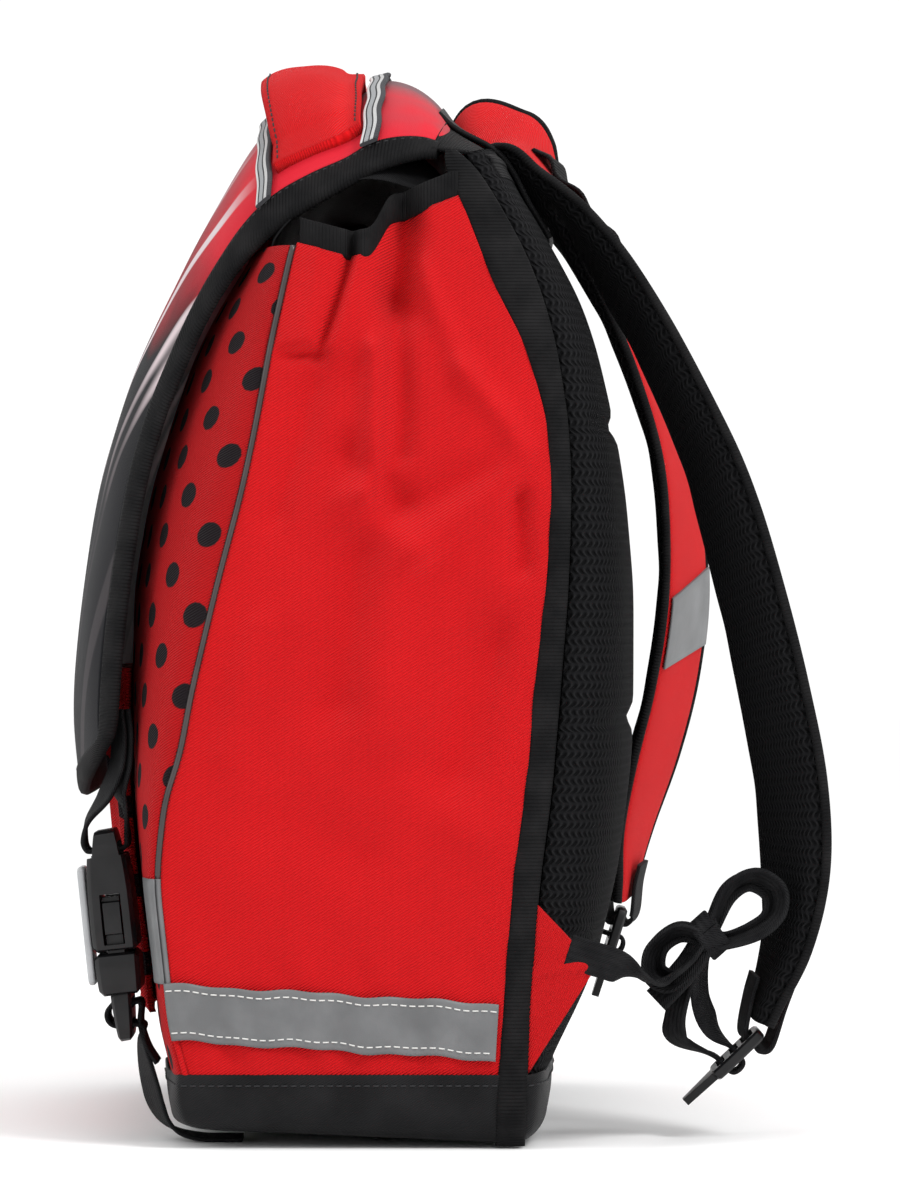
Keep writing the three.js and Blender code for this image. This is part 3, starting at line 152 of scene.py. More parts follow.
def outline(name, z):
    dense, run = outline_runs[name]
    size = BAG_WIDTH / 2 if name == "width" else BAG_DEPTH
    return np.interp(np.asarray(z) / BAG_HEIGHT, dense, run) * size


def rounded(angle, rounding):
    across = np.sign(angle) * np.abs(np.sin(angle)) ** (2 / rounding)
    crown = np.clip(np.cos(angle), 0, 1) ** (2 / rounding)
    return across, crown


def grid_normals(points, outward=None):
    """Unit normals of a grid of points, turned to the outward side where one is given."""
    normal = np.cross(np.gradient(points, axis=0), np.gradient(points, axis=1))
    normal /= np.maximum(np.linalg.norm(normal, axis=2, keepdims=True), 1e-12)
    columns, rows = points.shape[:2]
    if outward is not None and np.dot(normal[columns // 2, rows // 2], outward) < 0:
        normal = -normal
    return normal


def run_lengths(points, axis):
    steps = np.linalg.norm(np.diff(points, axis=axis), axis=2)
    zero = np.zeros_like(np.take(steps, [0], axis=axis))
    return np.concatenate([zero, np.cumsum(steps, axis=axis)], axis=axis)


def scene_object(name, tool):
    """The finished bmesh as an object of the scene."""
    mesh = bpy.data.meshes.new(name)
    tool.to_mesh(mesh)
    tool.free()
    made = bpy.data.objects.new(name, mesh)
    bpy.context.scene.collection.objects.link(made)
    return made


def cloth_wall(name, points, wall, outward, weave=None):
    """A sheet of cloth from a grid of points on its outer face, with its thickness and cut edges."""
    columns, rows = points.shape[:2]
    back = points - grid_normals(points, outward) * wall
    u = run_lengths(points, 0)
    u = u - u[columns // 2:columns // 2 + 1, :]
    v = np.repeat(run_lengths(points, 1)[columns // 2][None, :], columns, axis=0)
    if weave is not None:
        u, v = weave
    tool = bmesh.new()
    uv_layer = tool.loops.layers.uv.new("cloth")
    fronts = [[tool.verts.new(points[i, j]) for j in range(rows)] for i in range(columns)]
    backs = [[tool.verts.new(back[i, j]) for j in range(rows)] for i in range(columns)]
    where = {verts[i][j]: (u[i, j], v[i, j])
             for verts in (fronts, backs) for i in range(columns) for j in range(rows)}

    def face(corners):
        made = tool.faces.new(corners)
        made.smooth = True
        for loop in made.loops:
            loop[uv_layer].uv = where[loop.vert]

    for i in range(columns - 1):
        for j in range(rows - 1):
            face([fronts[i][j], fronts[i + 1][j], fronts[i + 1][j + 1], fronts[i][j + 1]])
            face([backs[i][j], backs[i][j + 1], backs[i + 1][j + 1], backs[i + 1][j]])
    for i in range(columns - 1):
        face([fronts[i][0], backs[i][0], backs[i + 1][0], fronts[i + 1][0]])
        face([fronts[i][-1], fronts[i + 1][-1], backs[i + 1][-1], backs[i][-1]])
    for j in range(rows - 1):
        face([fronts[0][j], fronts[0][j + 1], backs[0][j + 1], backs[0][j]])
        face([fronts[-1][j], backs[-1][j], backs[-1][j + 1], fronts[-1][j + 1]])
    bmesh.ops.recalc_face_normals(tool, faces=tool.faces)
    return scene_object(name, tool)


def ripple(points, seed, height, size):
    """A slight unevenness of hand-sewn cloth, from a few slow waves laid over each other."""
    chance = np.random.default_rng(seed)
    total = np.zeros(points.shape[:-1])
    for _ in range(7):
        direction = chance.normal(size=3)
        direction /= np.linalg.norm(direction)
        length = size * chance.uniform(0.6, 1.8)
        shift = chance.uniform(0, 2 * math.pi)
        total += np.sin(points @ direction * 2 * math.pi / length + shift)
    return total * height / 3


def finish_piece(piece, nodes, material):
    piece.data.materials.clear()
    piece.data.materials.append(material)
    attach(piece, "root")
    if nodes:
        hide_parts(*nodes)


class Finish:
    """Node helper for one material: textures in metres, joined to one Principled shader."""

    def __init__(self, name, roughness, sheen=0.0, gloss=0.2):
        self.material = bpy.data.materials.new(name)
        self.material.use_nodes = True
        self.tree = self.material.node_tree
        self.shader = self.tree.nodes["Principled BSDF"]
        for socket, value in (("Roughness", roughness), ("Sheen Weight", sheen),
                              ("Sheen Roughness", 0.5), ("Specular IOR Level", gloss)):
            self.shader.inputs[socket].default_value = value

    def node(self, kind, **values):
        made = self.tree.nodes.new(kind)
        for key, value in values.items():
            setattr(made, key, value)
        return made

    def link(self, source, target):
        self.tree.links.new(source, target)

    def cloth_axes(self):
        """The way across the cloth and the way along it, in metres."""
        split = self.node("ShaderNodeSeparateXYZ")
        self.link(self.node("ShaderNodeUVMap", uv_map="cloth").outputs["UV"], split.inputs[0])
        return split.outputs[0], split.outputs[1]

    def math(self, operation, first, second=None):
        made = self.node("ShaderNodeMath", operation=operation)
        for socket, value in zip(made.inputs, (first, second)):
            if value is None:
                continue
            if isinstance(value, (int, float)):
                socket.default_value = value
            else:
                self.link(value, socket)
        return made.outputs[0]

    def add(self, first, second):
        return self.math("ADD", first, second)

    def minus(self, first, second):
        return self.math("SUBTRACT", first, second)

    def times(self, first, second):
        return self.math("MULTIPLY", first, second)

    def noise(self, scale, detail):
        made = self.node("ShaderNodeTexNoise")
        made.inputs["Scale"].default_value = scale
        made.inputs["Detail"].default_value = detail
        self.link(self.node("ShaderNodeTexCoord").outputs["Object"], made.inputs["Vector"])
        return made.outputs[0]

    def ramp(self, value, low, high, low_colour, high_colour):
        made = self.node("ShaderNodeValToRGB")
        made.color_ramp.elements[0].position = low
        made.color_ramp.elements[0].color = low_colour
        made.color_ramp.elements[1].position = high
        made.color_ramp.elements[1].color = high_colour
        self.link(value, made.inputs[0])
        return made.outputs[0]

    def fade(self, value, low, high, first=0.0, last=1.0):
        """A share that runs from first to last while the value runs from low to high."""
        return self.ramp(value, low, high, (first, first, first, 1), (last, last, last, 1))

    def blend(self, share, first, second):
        made = self.node("ShaderNodeMix", data_type="RGBA")
        self.link(share, made.inputs[0])
        for socket, value in ((made.inputs[6], first), (made.inputs[7], second)):
            if isinstance(value, tuple):
                socket.default_value = value
            else:
                self.link(value, socket)
        return made.outputs[2]

    def waves(self, value, pitch):
        return self.math("SINE", self.times(value, 2 * math.pi / pitch))

    def relief(self, height, depth):
        bump = self.node("ShaderNodeBump")
        bump.inputs["Strength"].default_value = 1.0
        bump.inputs["Distance"].default_value = depth
        self.link(height, bump.inputs["Height"])
        self.link(bump.outputs[0], self.shader.inputs["Normal"])

    def colour(self, source):
        self.link(source, self.shader.inputs["Base Color"])

    def mottle(self, scale, detail, low, high, first, second):
        """A base colour that drifts between two tones with slow noise."""
        self.colour(self.ramp(self.noise(scale, detail), low, high, first, second))


def twill_weave(finish, pitch=0.00105):
    """Diagonal ridges of a twill with the small unevenness of its yarn."""
    across, along = finish.cloth_axes()
    ridges = finish.waves(finish.minus(finish.times(across, 0.62), along), pitch)
    return finish.add(ridges, finish.times(finish.noise(900, 2.0), 1.2))


def red_cloth(finish, painted_shade=0.0):
    """Red twill whose ground drifts between two reds. Painted shade darkens the furrows between its ridges,
    and the second argument darkens the whole cloth.
    """
    faded = finish.ramp(finish.noise(28, 4.0), 0.3, 0.72, DEEP_RED, RED)
    # Painted shade: the furrows between the twill's ridges are blended towards the shade red.
    furrow = finish.minus(0.62, finish.times(twill_weave(finish), 0.5))
    # The second argument adds an even painted shade over the whole cloth.
    share = finish.add(finish.fade(furrow, 0.0, 1.0, 0.0, 0.42), painted_shade)
    return finish.blend(share, faded, SHADE_RED)


def dots_over(finish, ground):
    """Black dots in staggered rows, with a slightly soft printed edge."""
    across, along = finish.cloth_axes()
    row = finish.math("FLOOR", finish.math("DIVIDE", along, DOT_ROW))
    shift = finish.times(finish.math("MODULO", row, 2.0), DOT_ROW)
    wide = finish.math("DIVIDE", finish.add(across, shift), 2 * DOT_ROW)
    x = finish.times(finish.minus(finish.math("FRACT", wide), 0.5), 2 * DOT_ROW)
    tall = finish.math("FRACT", finish.math("DIVIDE", along, DOT_ROW))
    y = finish.times(finish.minus(tall, 0.5), DOT_ROW)
    away = finish.math("SQRT", finish.add(finish.times(x, x), finish.times(y, y)))
    fuzz = finish.times(finish.noise(700, 2.0), DOT_FUZZ)
    inside = finish.minus(DOT_RADIUS + DOT_FUZZ / 2, finish.add(away, fuzz))
    share = finish.fade(finish.times(inside, 2500), 0.0, 1.0)
    return finish.blend(share, ground, DOT_BLACK)


dotted = Finish("dotted_twill", 0.82, 0.03, 0.12)
# The front panel and pocket take 0.45 of painted shade: their red is darkened as if they stood in shade.
dotted.colour(dots_over(dotted, red_cloth(dotted, 0.45)))
dotted.relief(twill_weave(dotted), 0.00030)


def front_point(angle, z, lift=0.0):
    across, crown = rounded(angle, FRONT_ROUNDING)
    seam = outline("seam", z) - PIPING / 2
    front = outline("front", z) - lift
    x = (outline("width", z) + lift) * across
    y = seam + (front - seam) * crown
    return np.stack([x, y, np.broadcast_to(z, x.shape)], axis=-1)


front_angles, front_heights = np.meshgrid(
    np.linspace(-math.pi / 2, math.pi / 2, 90), np.linspace(TRAY_HEIGHT, FRONT_TOP, 110), indexing="ij")
front_grid = front_point(front_angles, front_heights)
front_grid += grid_normals(front_grid) * ripple(front_grid, 3, 0.0004, 0.06)[..., None]
front_panel = cloth_wall("front_panel_cloth", front_grid, TWILL_WALL, (0, -1, 0))
finish_piece(front_panel, ["front_panel"], dotted.material)


# Front pocket.
# A second sheet of the dotted twill, bellowed over the lower front, with two corded ridges round its
# sides and foot where its edge is turned in and sewn down.
POCKET_HALF_WIDTH = 0.084
POCKET_BOTTOM = 0.044
POCKET_TOP = 0.168
POCKET_BULGE = 0.007
POCKET_SEAT = 0.0018
RIDGE = 0.0017
RIDGE_REACH = 0.0018
RIDGES_FROM_EDGE = (0.003, 0.012)


def swell(distance, reach):
    """1 at no distance, falling away smoothly over the reach."""
    return np.exp(-(distance / reach) ** 2)


pocket_x, pocket_z = np.meshgrid(
    np.linspace(-POCKET_HALF_WIDTH, POCKET_HALF_WIDTH, 120), np.linspace(POCKET_BOTTOM, POCKET_TOP, 90),
    indexing="ij")
pocket_angle = np.sign(pocket_x) * np.arcsin(
    (np.abs(pocket_x) / outline("width", pocket_z)) ** (FRONT_ROUNDING / 2))
pocket_grid = front_point(pocket_angle, pocket_z, 0.001)
side_fall = 1 - (np.abs(pocket_x) / POCKET_HALF_WIDTH) ** 8
foot_rise = np.clip((pocket_z - POCKET_BOTTOM) / (0.12 * (POCKET_TOP - POCKET_BOTTOM)), 0, 1) ** 0.7
from_edge = np.minimum(POCKET_HALF_WIDTH - np.abs(pocket_x), pocket_z - POCKET_BOTTOM)
ridges = sum(swell(from_edge - middle, RIDGE_REACH) for middle in RIDGES_FROM_EDGE)
pocket_grid[..., 1] -= POCKET_SEAT + POCKET_BULGE * side_fall * foot_rise + RIDGE * ridges
pocket_grid[..., 1] -= ripple(pocket_grid, 5, 0.0004, 0.05)
front_pocket = cloth_wall("front_pocket_cloth", pocket_grid, TWILL_WALL, (0, -1, 0))
finish_piece(front_pocket, ["front_pocket"], dotted.material)


# Side panels.
# Plain red twill gussets between the corner seam and the back binding. When the bag is closed the
# spare width folds into a pleat at the mouth, and the rest hangs in soft creases.
RIGHT = 1
LEFT = -1

# from and to as shares across the panel and of the height, half width and depth as shares of the depth
SIDE_FOLDS = [
    (0.62, 0.935, 0.52, 0.86, 0.085, -0.085),
    (0.40, 0.80, 0.40, 0.66, 0.045, 0.034),
    (0.50, 0.84, 0.49, 0.70, 0.05, -0.024),
    (0.66, 0.88, 0.74, 0.78, 0.06, 0.016),
    (0.74, 0.78, 0.93, 0.70, 0.05, 0.022),
    (0.32, 0.70, 0.52, 0.645, 0.05, -0.018),
    (0.52, 0.645, 0.80, 0.68, 0.06, -0.016),
    (0.34, 0.65, 0.58, 0.60, 0.06, 0.018),
    (0.60, 0.60, 0.84, 0.67, 0.06, 0.016),
    (0.90, 0.65, 0.93, 0.585, 0.04, -0.040),
    (0.40, 0.59, 0.42, 0.45, 0.08, -0.026),
    (0.52, 0.58, 0.55, 0.42, 0.10, 0.020),
    (0.85, 0.50, 0.78, 0.38, 0.10, -0.032),
    (0.15, 0.52, 0.12, 0.40, 0.06, 0.014),
    (0.30, 0.33, 0.55, 0.29, 0.09, -0.014),
    (0.68, 0.36, 0.90, 0.31, 0.07, 0.014),
    (0.16, 0.76, 0.10, 0.64, 0.06, -0.018),
]
PLEAT_TOP = 0.900
PLEAT_FOOT = 0.803
MOUTH = [(0, 0.909), (0.3, 0.895), (0.41, 0.897), (0.52, 0.932), (0.75, 0.944), (1, 0.957)]


def fold_depth(across, z):
    depth = np.zeros(np.broadcast(across, z).shape)
    for from_across, from_height, to_across, to_height, reach, deep in SIDE_FOLDS:
        reach_z = reach * BAG_DEPTH / BAG_HEIGHT
        run = np.array([(to_across - from_across) / reach, (to_height - from_height) / reach_z])
        at_across = (across - from_across) / reach
        at_height = (z / BAG_HEIGHT - from_height) / reach_z
        nearest = np.clip((at_across * run[0] + at_height * run[1]) / (run @ run), 0, 1)
        away = (at_across - nearest * run[0]) ** 2 + (at_height - nearest * run[1]) ** 2
        depth = depth + 1.35 * deep * BAG_DEPTH * np.exp(-away)
    return depth


def soft_step(distance, softness):
    """0 before an edge and 1 past it."""
    return 1 / (1 + np.exp(-distance / softness))


def pleat_depth(across, z):
    """The spare width at the mouth: the rear part lies over the front part, whose foot is turned in."""
    height = z / BAG_HEIGHT
    edge = 0.336 - 0.123 * np.clip((PLEAT_TOP - height) / (PLEAT_TOP - PLEAT_FOOT), 0, 1)
    behind = across - edge
    over = soft_step(behind, 0.009)
    reach = swell(np.maximum(behind, 0), 0.17)
    above = soft_step(height - PLEAT_FOOT + 0.008, 0.008)
    turned_in = soft_step(height - PLEAT_FOOT, 0.0024)
    under_edge = swell(behind + 0.026, 0.024) * turned_in
    under_foot = swell(height - PLEAT_FOOT + 0.008, 0.007) * (1 - over)
    return (0.0060 * over * reach * above + 0.0034 * (1 - over) * turned_in
            - 0.0055 * under_edge - 0.0040 * under_foot)


def pucker(across, z):
    """Small gathers where the reflective tape and the base are sewn on."""
    near = swell(z - 0.0385, 0.009) + 0.5 * swell(z - 0.060, 0.006)
    return near * (0.0007 * np.sin(across * 31 + 0.8) + 0.0005 * np.sin(across * 53 + z * 90))


def side_point(sign, across, z, lift=0.0, crumple=1.0):
    fade = np.clip(np.minimum(8 * across, 8 * (1 - across)), 0, 1)
    seam = outline("seam", z) + PIPING / 2
    binding = outline("binding", z)
    y = seam + (binding - seam) * across
    bare = np.stack([np.zeros_like(y), y, z * np.ones_like(y)], axis=-1)
    wrinkle = ripple(bare, 11 if sign > 0 else 12, 0.0005, 0.045)
    depth = fold_depth(across, z) + pleat_depth(across, z) + pucker(across, z) + wrinkle
    x = outline("width", z) + depth * fade * crumple + lift
    return np.stack([sign * x, y, z * np.ones_like(y)], axis=-1)


def mouth_height(across):
    knots, heights = zip(*MOUTH)
    dense, run = eased(np.array(knots), np.array(heights), 0.02)
    return np.interp(across, dense, run) * BAG_HEIGHT


plain_red = Finish("red_twill", 0.82, 0.03, 0.12)
plain_red.colour(red_cloth(plain_red))
plain_red.relief(twill_weave(plain_red), 0.00030)

for side, sign in (("right", RIGHT), ("left", LEFT)):
    across, rise = np.meshgrid(np.linspace(0, 1, 110), np.linspace(0, 1, 230), indexing="ij")
    z = TRAY_HEIGHT + (mouth_height(across) - TRAY_HEIGHT) * rise
    grid = side_point(sign, across, z)
    panel = cloth_wall(f"side_panel_{side}_cloth", grid, TWILL_WALL, (sign, 0, 0), (grid[..., 1], z))
    finish_piece(panel, [f"side_panel_{side}"], plain_red.material)


# Reflective tape.
# Grey glass-bead tape, cut 20 mm wide and sewn round the foot of each side with a line of white
# stitches inside each edge. Short pieces of it show on the front, beside the pocket.
TAPE_HEIGHT = 0.020
TAPE_WALL = 0.0009
TAPE_TOP = 0.166
TAPE_FALL = 0.020
CORNER_TAPE_TOP = 0.271
STITCH_PITCH = 0.0032
STITCH_RADIUS = 0.00028

bead_tape = Finish("reflective_tape", 0.45, 0.0, 0.4)
bead_tape.mottle(60, 3.0, 0.35, 0.7, (0.108, 0.111, 0.114, 1), (0.150, 0.154, 0.158, 1))
bead_tape.relief(bead_tape.noise(1400, 1.0), 0.00004)

white_thread = Finish("white_thread", 0.7)
white_thread.shader.inputs["Base Color"].default_value = (0.62, 0.62, 0.60, 1)


def stitches(name, points, normals, pitch, material):
    """One row of stitches: short thread bars lying on the cloth, dipping in at their ends."""
    spans = np.linalg.norm(np.diff(points, axis=0), axis=1)
    run = np.concatenate([[0], np.cumsum(spans)])
    tool = bmesh.new()
    for k in range(int(run[-1] / pitch)):
        start, end = (Vector([np.interp((k + share) * pitch, run, points[:, axis]) for axis in range(3)])
                      for share in (0.16, 0.84))
        middle = (k + 0.5) * pitch
        out = Vector([np.interp(middle, run, normals[:, axis]) for axis in range(3)]).normalized()
        side = (end - start).normalized().cross(out)
        rings = []
        for share, lift in ((0, -0.4), (0.2, 0.7), (0.5, 1.0), (0.8, 0.7), (1, -0.4)):
            centre = start.lerp(end, share) + out * STITCH_RADIUS * lift
            rings.append([tool.verts.new(
                centre + side * STITCH_RADIUS * math.cos(turn) + out * STITCH_RADIUS * math.sin(turn))
                for turn in (0.5, 1.57, 2.64, 3.7, 5.7)])
        for first, second in zip(rings, rings[1:]):
            for i in range(5):
                made = tool.faces.new([first[i], first[(i + 1) % 5], second[(i + 1) % 5], second[i]])
                made.smooth = True
        tool.faces.new(rings[0])
        tool.faces.new(rings[-1])
    bmesh.ops.recalc_face_normals(tool, faces=tool.faces)
    finish_piece(scene_object(name, tool), [], material)


for side, sign in (("right", RIGHT), ("left", LEFT)):
    across, down = np.meshgrid(np.linspace(-0.022, 0.985, 120), np.linspace(0, 1, 16), indexing="ij")
    sway = 0.0004 * np.sin(across * 17 + 1.0) + 0.0003 * np.sin(across * 41)
    z = (TAPE_TOP - TAPE_FALL * across) * BAG_HEIGHT + sway - TAPE_HEIGHT * down
    grid = side_point(sign, across, z, lift=0.0016)
    grid[..., 0] += sign * 0.0005 * np.sin(across * 33 + 2.0 * down)
    tape = cloth_wall(f"side_reflector_{side}_tape", grid, TAPE_WALL, (sign, 0, 0))
    finish_piece(tape, [f"side_reflector_{side}"], bead_tape.material)
    out = grid_normals(grid, (sign, 0, 0))
    for edge, row in (("upper", 2), ("lower", 13)):
        stitches(f"side_reflector_{side}_{edge}_stitches", grid[:, row], out[:, row],
                 STITCH_PITCH, white_thread.material)
    corner, rise = np.meshgrid(
        sign * np.linspace(1.122, math.pi / 2, 14), np.linspace(0, 1, 16), indexing="ij")
    z = (TAPE_TOP + (CORNER_TAPE_TOP - TAPE_TOP) * rise) * BAG_HEIGHT
    patch = cloth_wall(f"front_reflector_{side}_tape", front_point(corner, z, 0.0013), TAPE_WALL, (0, -1, 0))
    finish_piece(patch, [f"front_reflector_{side}"], bead_tape.material)


# Piping, bindings and mouth tape.
# A thin cord in each corner seam, covered in dark cloth down to the tape. Black ribbed tape is folded
# over each rear seam down to the floor, and over the raw edge of each side's mouth.
RIB_PITCH = 0.0013
TAPE_BLACK = (0.004, 0.004, 0.0045, 1)
WORN_BLACK = (0.012, 0.0115, 0.012, 1)
BINDING_WALL = 0.0034
BINDING_TOP = 0.351
MOUTH_TAPE_WIDTH = 0.0106
MOUTH_TAPE_WALL = 0.0038
MOUTH_TAPE_RISE = 0.0036

ribbed = Finish("black_grosgrain", 0.75, 0.0, 0.10)
ribbed.mottle(90, 4.0, 0.35, 0.75, TAPE_BLACK, WORN_BLACK)
ribbed.relief(ribbed.add(ribbed.waves(ribbed.cloth_axes()[1], RIB_PITCH), ribbed.noise(1200, 2.0)), 0.00018)


def sweep(name, path, across, out, section):
    """A strip along a path from a closed section of (across, out) pairs, one section or one a point."""
    count = len(path)
    sections = np.asarray(section, dtype=float)
    if sections.ndim == 2:
        sections = np.repeat(sections[None], count, axis=0)
    sides = sections.shape[1]
    rings = (path[:, None, :] + across[:, None, :] * sections[..., 0:1]
             + out[:, None, :] * sections[..., 1:2])
    along = np.concatenate([[0], np.cumsum(np.linalg.norm(np.diff(path, axis=0), axis=1))])
    around = np.concatenate([[0], np.cumsum(np.linalg.norm(
        np.diff(np.concatenate([sections[count // 2], sections[count // 2][:1]]), axis=0), axis=1))])
    tool = bmesh.new()
    uv_layer = tool.loops.layers.uv.new("cloth")
    verts = [[tool.verts.new(rings[k, i]) for i in range(sides)] for k in range(count)]
    for k in range(count - 1):
        for i in range(sides):
            n = (i + 1) % sides
            made = tool.faces.new([verts[k][i], verts[k][n], verts[k + 1][n], verts[k + 1][i]])
            made.smooth = True
            values = [(around[i], along[k]), (around[i + 1], along[k]),
                      (around[i + 1], along[k + 1]), (around[i], along[k + 1])]
            for loop, value in zip(made.loops, values):
                loop[uv_layer].uv = value
    for ring in (verts[0], verts[-1]):
        tool.faces.new(ring)
    bmesh.ops.recalc_face_normals(tool, faces=tool.faces)
    return scene_object(name, tool)


def flat_section(width, wall, bulge=0.0, steps=8):
    """A flat strip's section with round edges, fuller by the bulge in its middle."""
    half = width / 2 - wall / 2
    top = [(x, wall / 2 + bulge * (1 - (x / half) ** 2)) for x in np.linspace(-half, half, steps)]
    right = [(half + wall / 2 * math.cos(a), wall / 2 * math.sin(a)) for a in (0.8, 0, -0.8)]
    bottom = [(x, -wall / 2) for x in np.linspace(half, -half, steps)]
    left = [(-half - wall / 2 * math.cos(a), wall / 2 * math.sin(a)) for a in (-0.8, 0, 0.8)]
    return top + right + bottom + left


def round_section(radius):
    turns = np.linspace(0, 2 * math.pi, 12, endpoint=False)
    return [(radius * math.cos(turn), radius * math.sin(turn)) for turn in turns]


def constant(vector, count):
    return np.repeat(np.array([vector], dtype=float), count, axis=0)


cord_cover = Finish("piping_cover", 0.34, 0.0, 0.6)
cord_cover.mottle(60, 3.0, 0.3, 0.7, (0.016, 0.011, 0.011, 1), (0.034, 0.024, 0.024, 1))
cord_cover.relief(cord_cover.noise(900, 2.0), 0.00003)

for side, sign in (("right", RIGHT), ("left", LEFT)):
    # The cord runs through the whole seam: under the dark cover, the tape and the red cloth.
    for part, low, high, nodes, slot, cover in (
            ("roll", CORNER_TAPE_TOP * BAG_HEIGHT, FRONT_TOP, [f"corner_piping_{side}"],
             "black_grosgrain", cord_cover),
            ("turn", TAPE_TOP * BAG_HEIGHT, CORNER_TAPE_TOP * BAG_HEIGHT, [], "reflective_tape", bead_tape),
            ("foot", TRAY_HEIGHT + 0.001, TAPE_TOP * BAG_HEIGHT, [], "red_twill", plain_red)):
        z = np.linspace(low, high, 120)
        path = np.stack([sign * (outline("width", z) - 0.0003), outline("seam", z), z], axis=-1)
        roll = sweep(f"corner_piping_{side}_{part}", path, constant((1, 0, 0), 120),
                     constant((0, 1, 0), 120), round_section(PIPING / 2))
        finish_piece(roll, nodes, cover.material)

    z = np.concatenate([np.linspace(0.0008, TRAY_HEIGHT, 26),
                        np.linspace(TRAY_HEIGHT + 0.002, BINDING_TOP, 170)])
    tuck = np.interp(z, [0, 0.006, 0.0125, 0.025, 0.033], [0.0062, 0.0014, -0.0016, -0.0018, 0])
    x = outline("width", z) - 0.0012 - tuck + 0.0004 * np.sin(z * 210)
    path = np.stack([sign * x, (outline("binding", z) + outline("edge", z)) / 2, z], axis=-1)
    width = outline("edge", z) - outline("binding", z)
    rounding = np.sqrt(np.clip(1 - (np.clip(z - 0.340, 0, 1) / 0.0116) ** 2, 0.02, 1))
    sections = [flat_section(max(0.004, (w + 0.001) * r), BINDING_WALL, 0.0005)
                for w, r in zip(width, rounding)]
    strip = sweep(f"back_binding_{side}_tape", path, constant((0, 1, 0), len(z)),
                  constant((sign, 0, 0), len(z)), sections)
    finish_piece(strip, [f"back_binding_{side}"], ribbed.material)

    across = np.linspace(0.0, 1.03, 90)
    path = side_point(sign, across, mouth_height(across) + MOUTH_TAPE_RISE, lift=-0.0012)
    band = sweep(f"mouth_binding_{side}_tape", path, constant((0, 0, 1), 90),
                 constant((sign, 0, 0), 90), flat_section(MOUTH_TAPE_WIDTH, MOUTH_TAPE_WALL, 0.0004))
    finish_piece(band, [f"mouth_binding_{side}"], ribbed.material)


# Back panel.
# The padded side that lies against the wearer: black spacer mesh over foam, sewn down in three
# channels, and held in the rear bindings.
BACK_ROUNDING = 3.0
BACK_PAD = 0.0065
BACK_INSET = 0.0036
MESH_CELL = 0.0026
MESH_BLACK = (0.003, 0.003, 0.0035, 1)
MESH_GREY = (0.014, 0.014, 0.015, 1)


def back_point(angle, z, lift=0.0):
    across, crown = rounded(angle, BACK_ROUNDING)
    edge = outline("edge", z)
    x = (outline("width", z) - BACK_INSET) * across
    y = edge + (outline("back", z) - edge) * crown + lift
    rise = 0.004 * crown * np.clip((z - 0.96 * BAG_HEIGHT) / (0.04 * BAG_HEIGHT), 0, 1)
    return np.stack([x, y, z + rise], axis=-1)


spacer_mesh = Finish("black_mesh", 0.95, 0.0, 0.08)
mesh_across, mesh_along = spacer_mesh.cloth_axes()
bend = spacer_mesh.times(spacer_mesh.waves(mesh_along, 2.4 * MESH_CELL), 0.35 * MESH_CELL)
wales = spacer_mesh.waves(spacer_mesh.add(mesh_across, bend), MESH_CELL)
cells = spacer_mesh.times(wales, spacer_mesh.waves(mesh_along, 1.2 * MESH_CELL))
knit = spacer_mesh.add(wales, spacer_mesh.times(cells, 0.8))
spacer_mesh.colour(spacer_mesh.ramp(spacer_mesh.times(spacer_mesh.add(knit, 1.8), 0.28),
                                    0.25, 0.9, MESH_BLACK, MESH_GREY))
spacer_mesh.relief(knit, 0.0005)

back_angles, back_heights = np.meshgrid(
    np.linspace(-1.565, 1.565, 110), np.linspace(TRAY_HEIGHT - 0.001, BAG_HEIGHT, 130), indexing="ij")
back_grid = back_point(back_angles, back_heights)
channel = np.zeros(back_grid.shape[:2])
for centre, level in ((-0.045, None), (0.045, None), (None, 0.15), (None, 0.255)):
    away = back_grid[..., 0] - centre if level is None else back_grid[..., 2] - level
    channel += swell(away, 0.0035)
inside = np.clip((1.35 - np.abs(back_angles)) / 0.25, 0, 1)
back_grid[..., 1] -= 0.0024 * np.clip(channel, 0, 1) * inside
back_panel = cloth_wall("back_panel_pad", back_grid, BACK_PAD, (0, 1, 0))
finish_piece(back_panel, ["back_panel"], spacer_mesh.material)


# Base tray.
# A charcoal coated cloth that wraps the foot of the bag and laps up over the panels in a wavy edge
# with one stitched line. It stands on its flat middle, and its rim is lifted off the floor.
TRAY_LIFT = 0.0055
CHARCOAL = (0.007, 0.007, 0.0075, 1)
CHARCOAL_WORN = (0.016, 0.016, 0.017, 1)

# height, inset from the outline, share of the lift, and inset to the sides
TRAY_RINGS = [
    (0.0, 0.030, 0, 0.078), (0.0001, 0.019, 0.45, 0.043), (0.0008, 0.0085, 1, 0.009),
    (0.0034, 0.0036, 0.8, 0.0036), (0.0080, 0.0012, 0.3, 0.0012), (0.0140, -0.0001, 0, -0.0001),
    (0.0190, -0.0009, 0, -0.0009), (0.0225, -0.0011, 0, -0.0011), (0.0252, -0.0011, 0, -0.0011),
    (0.0256, -0.0006, 0, -0.0006), (0.0250, -0.0002, 0, -0.0002), (0.0190, 0.0026, 0, 0.0026),
    (0.0090, 0.0040, 0.3, 0.0040), (0.0036, 0.0112, 1, 0.0112), (0.0022, 0.0322, 0, 0.0802),
]


def through(values, at):
    """A smooth curve through rows of values, read at places counted in rows."""
    values = np.asarray(values, dtype=float)
    at = np.clip(np.asarray(at, dtype=float), 0, len(values) - 1)
    padded_rows = np.concatenate([[2 * values[0] - values[1]], values, [2 * values[-1] - values[-2]]])
    k = np.minimum(at.astype(int), len(values) - 2)
    t = (at - k).reshape(at.shape + (1,) * (values.ndim - 1))
    a, b, c, d = (padded_rows[k + step] for step in range(4))
    return 0.5 * (2 * b + (c - a) * t + (2 * a - 5 * b + 4 * c - d) * t ** 2
                  + (3 * b - a - 3 * c + d) * t ** 3)


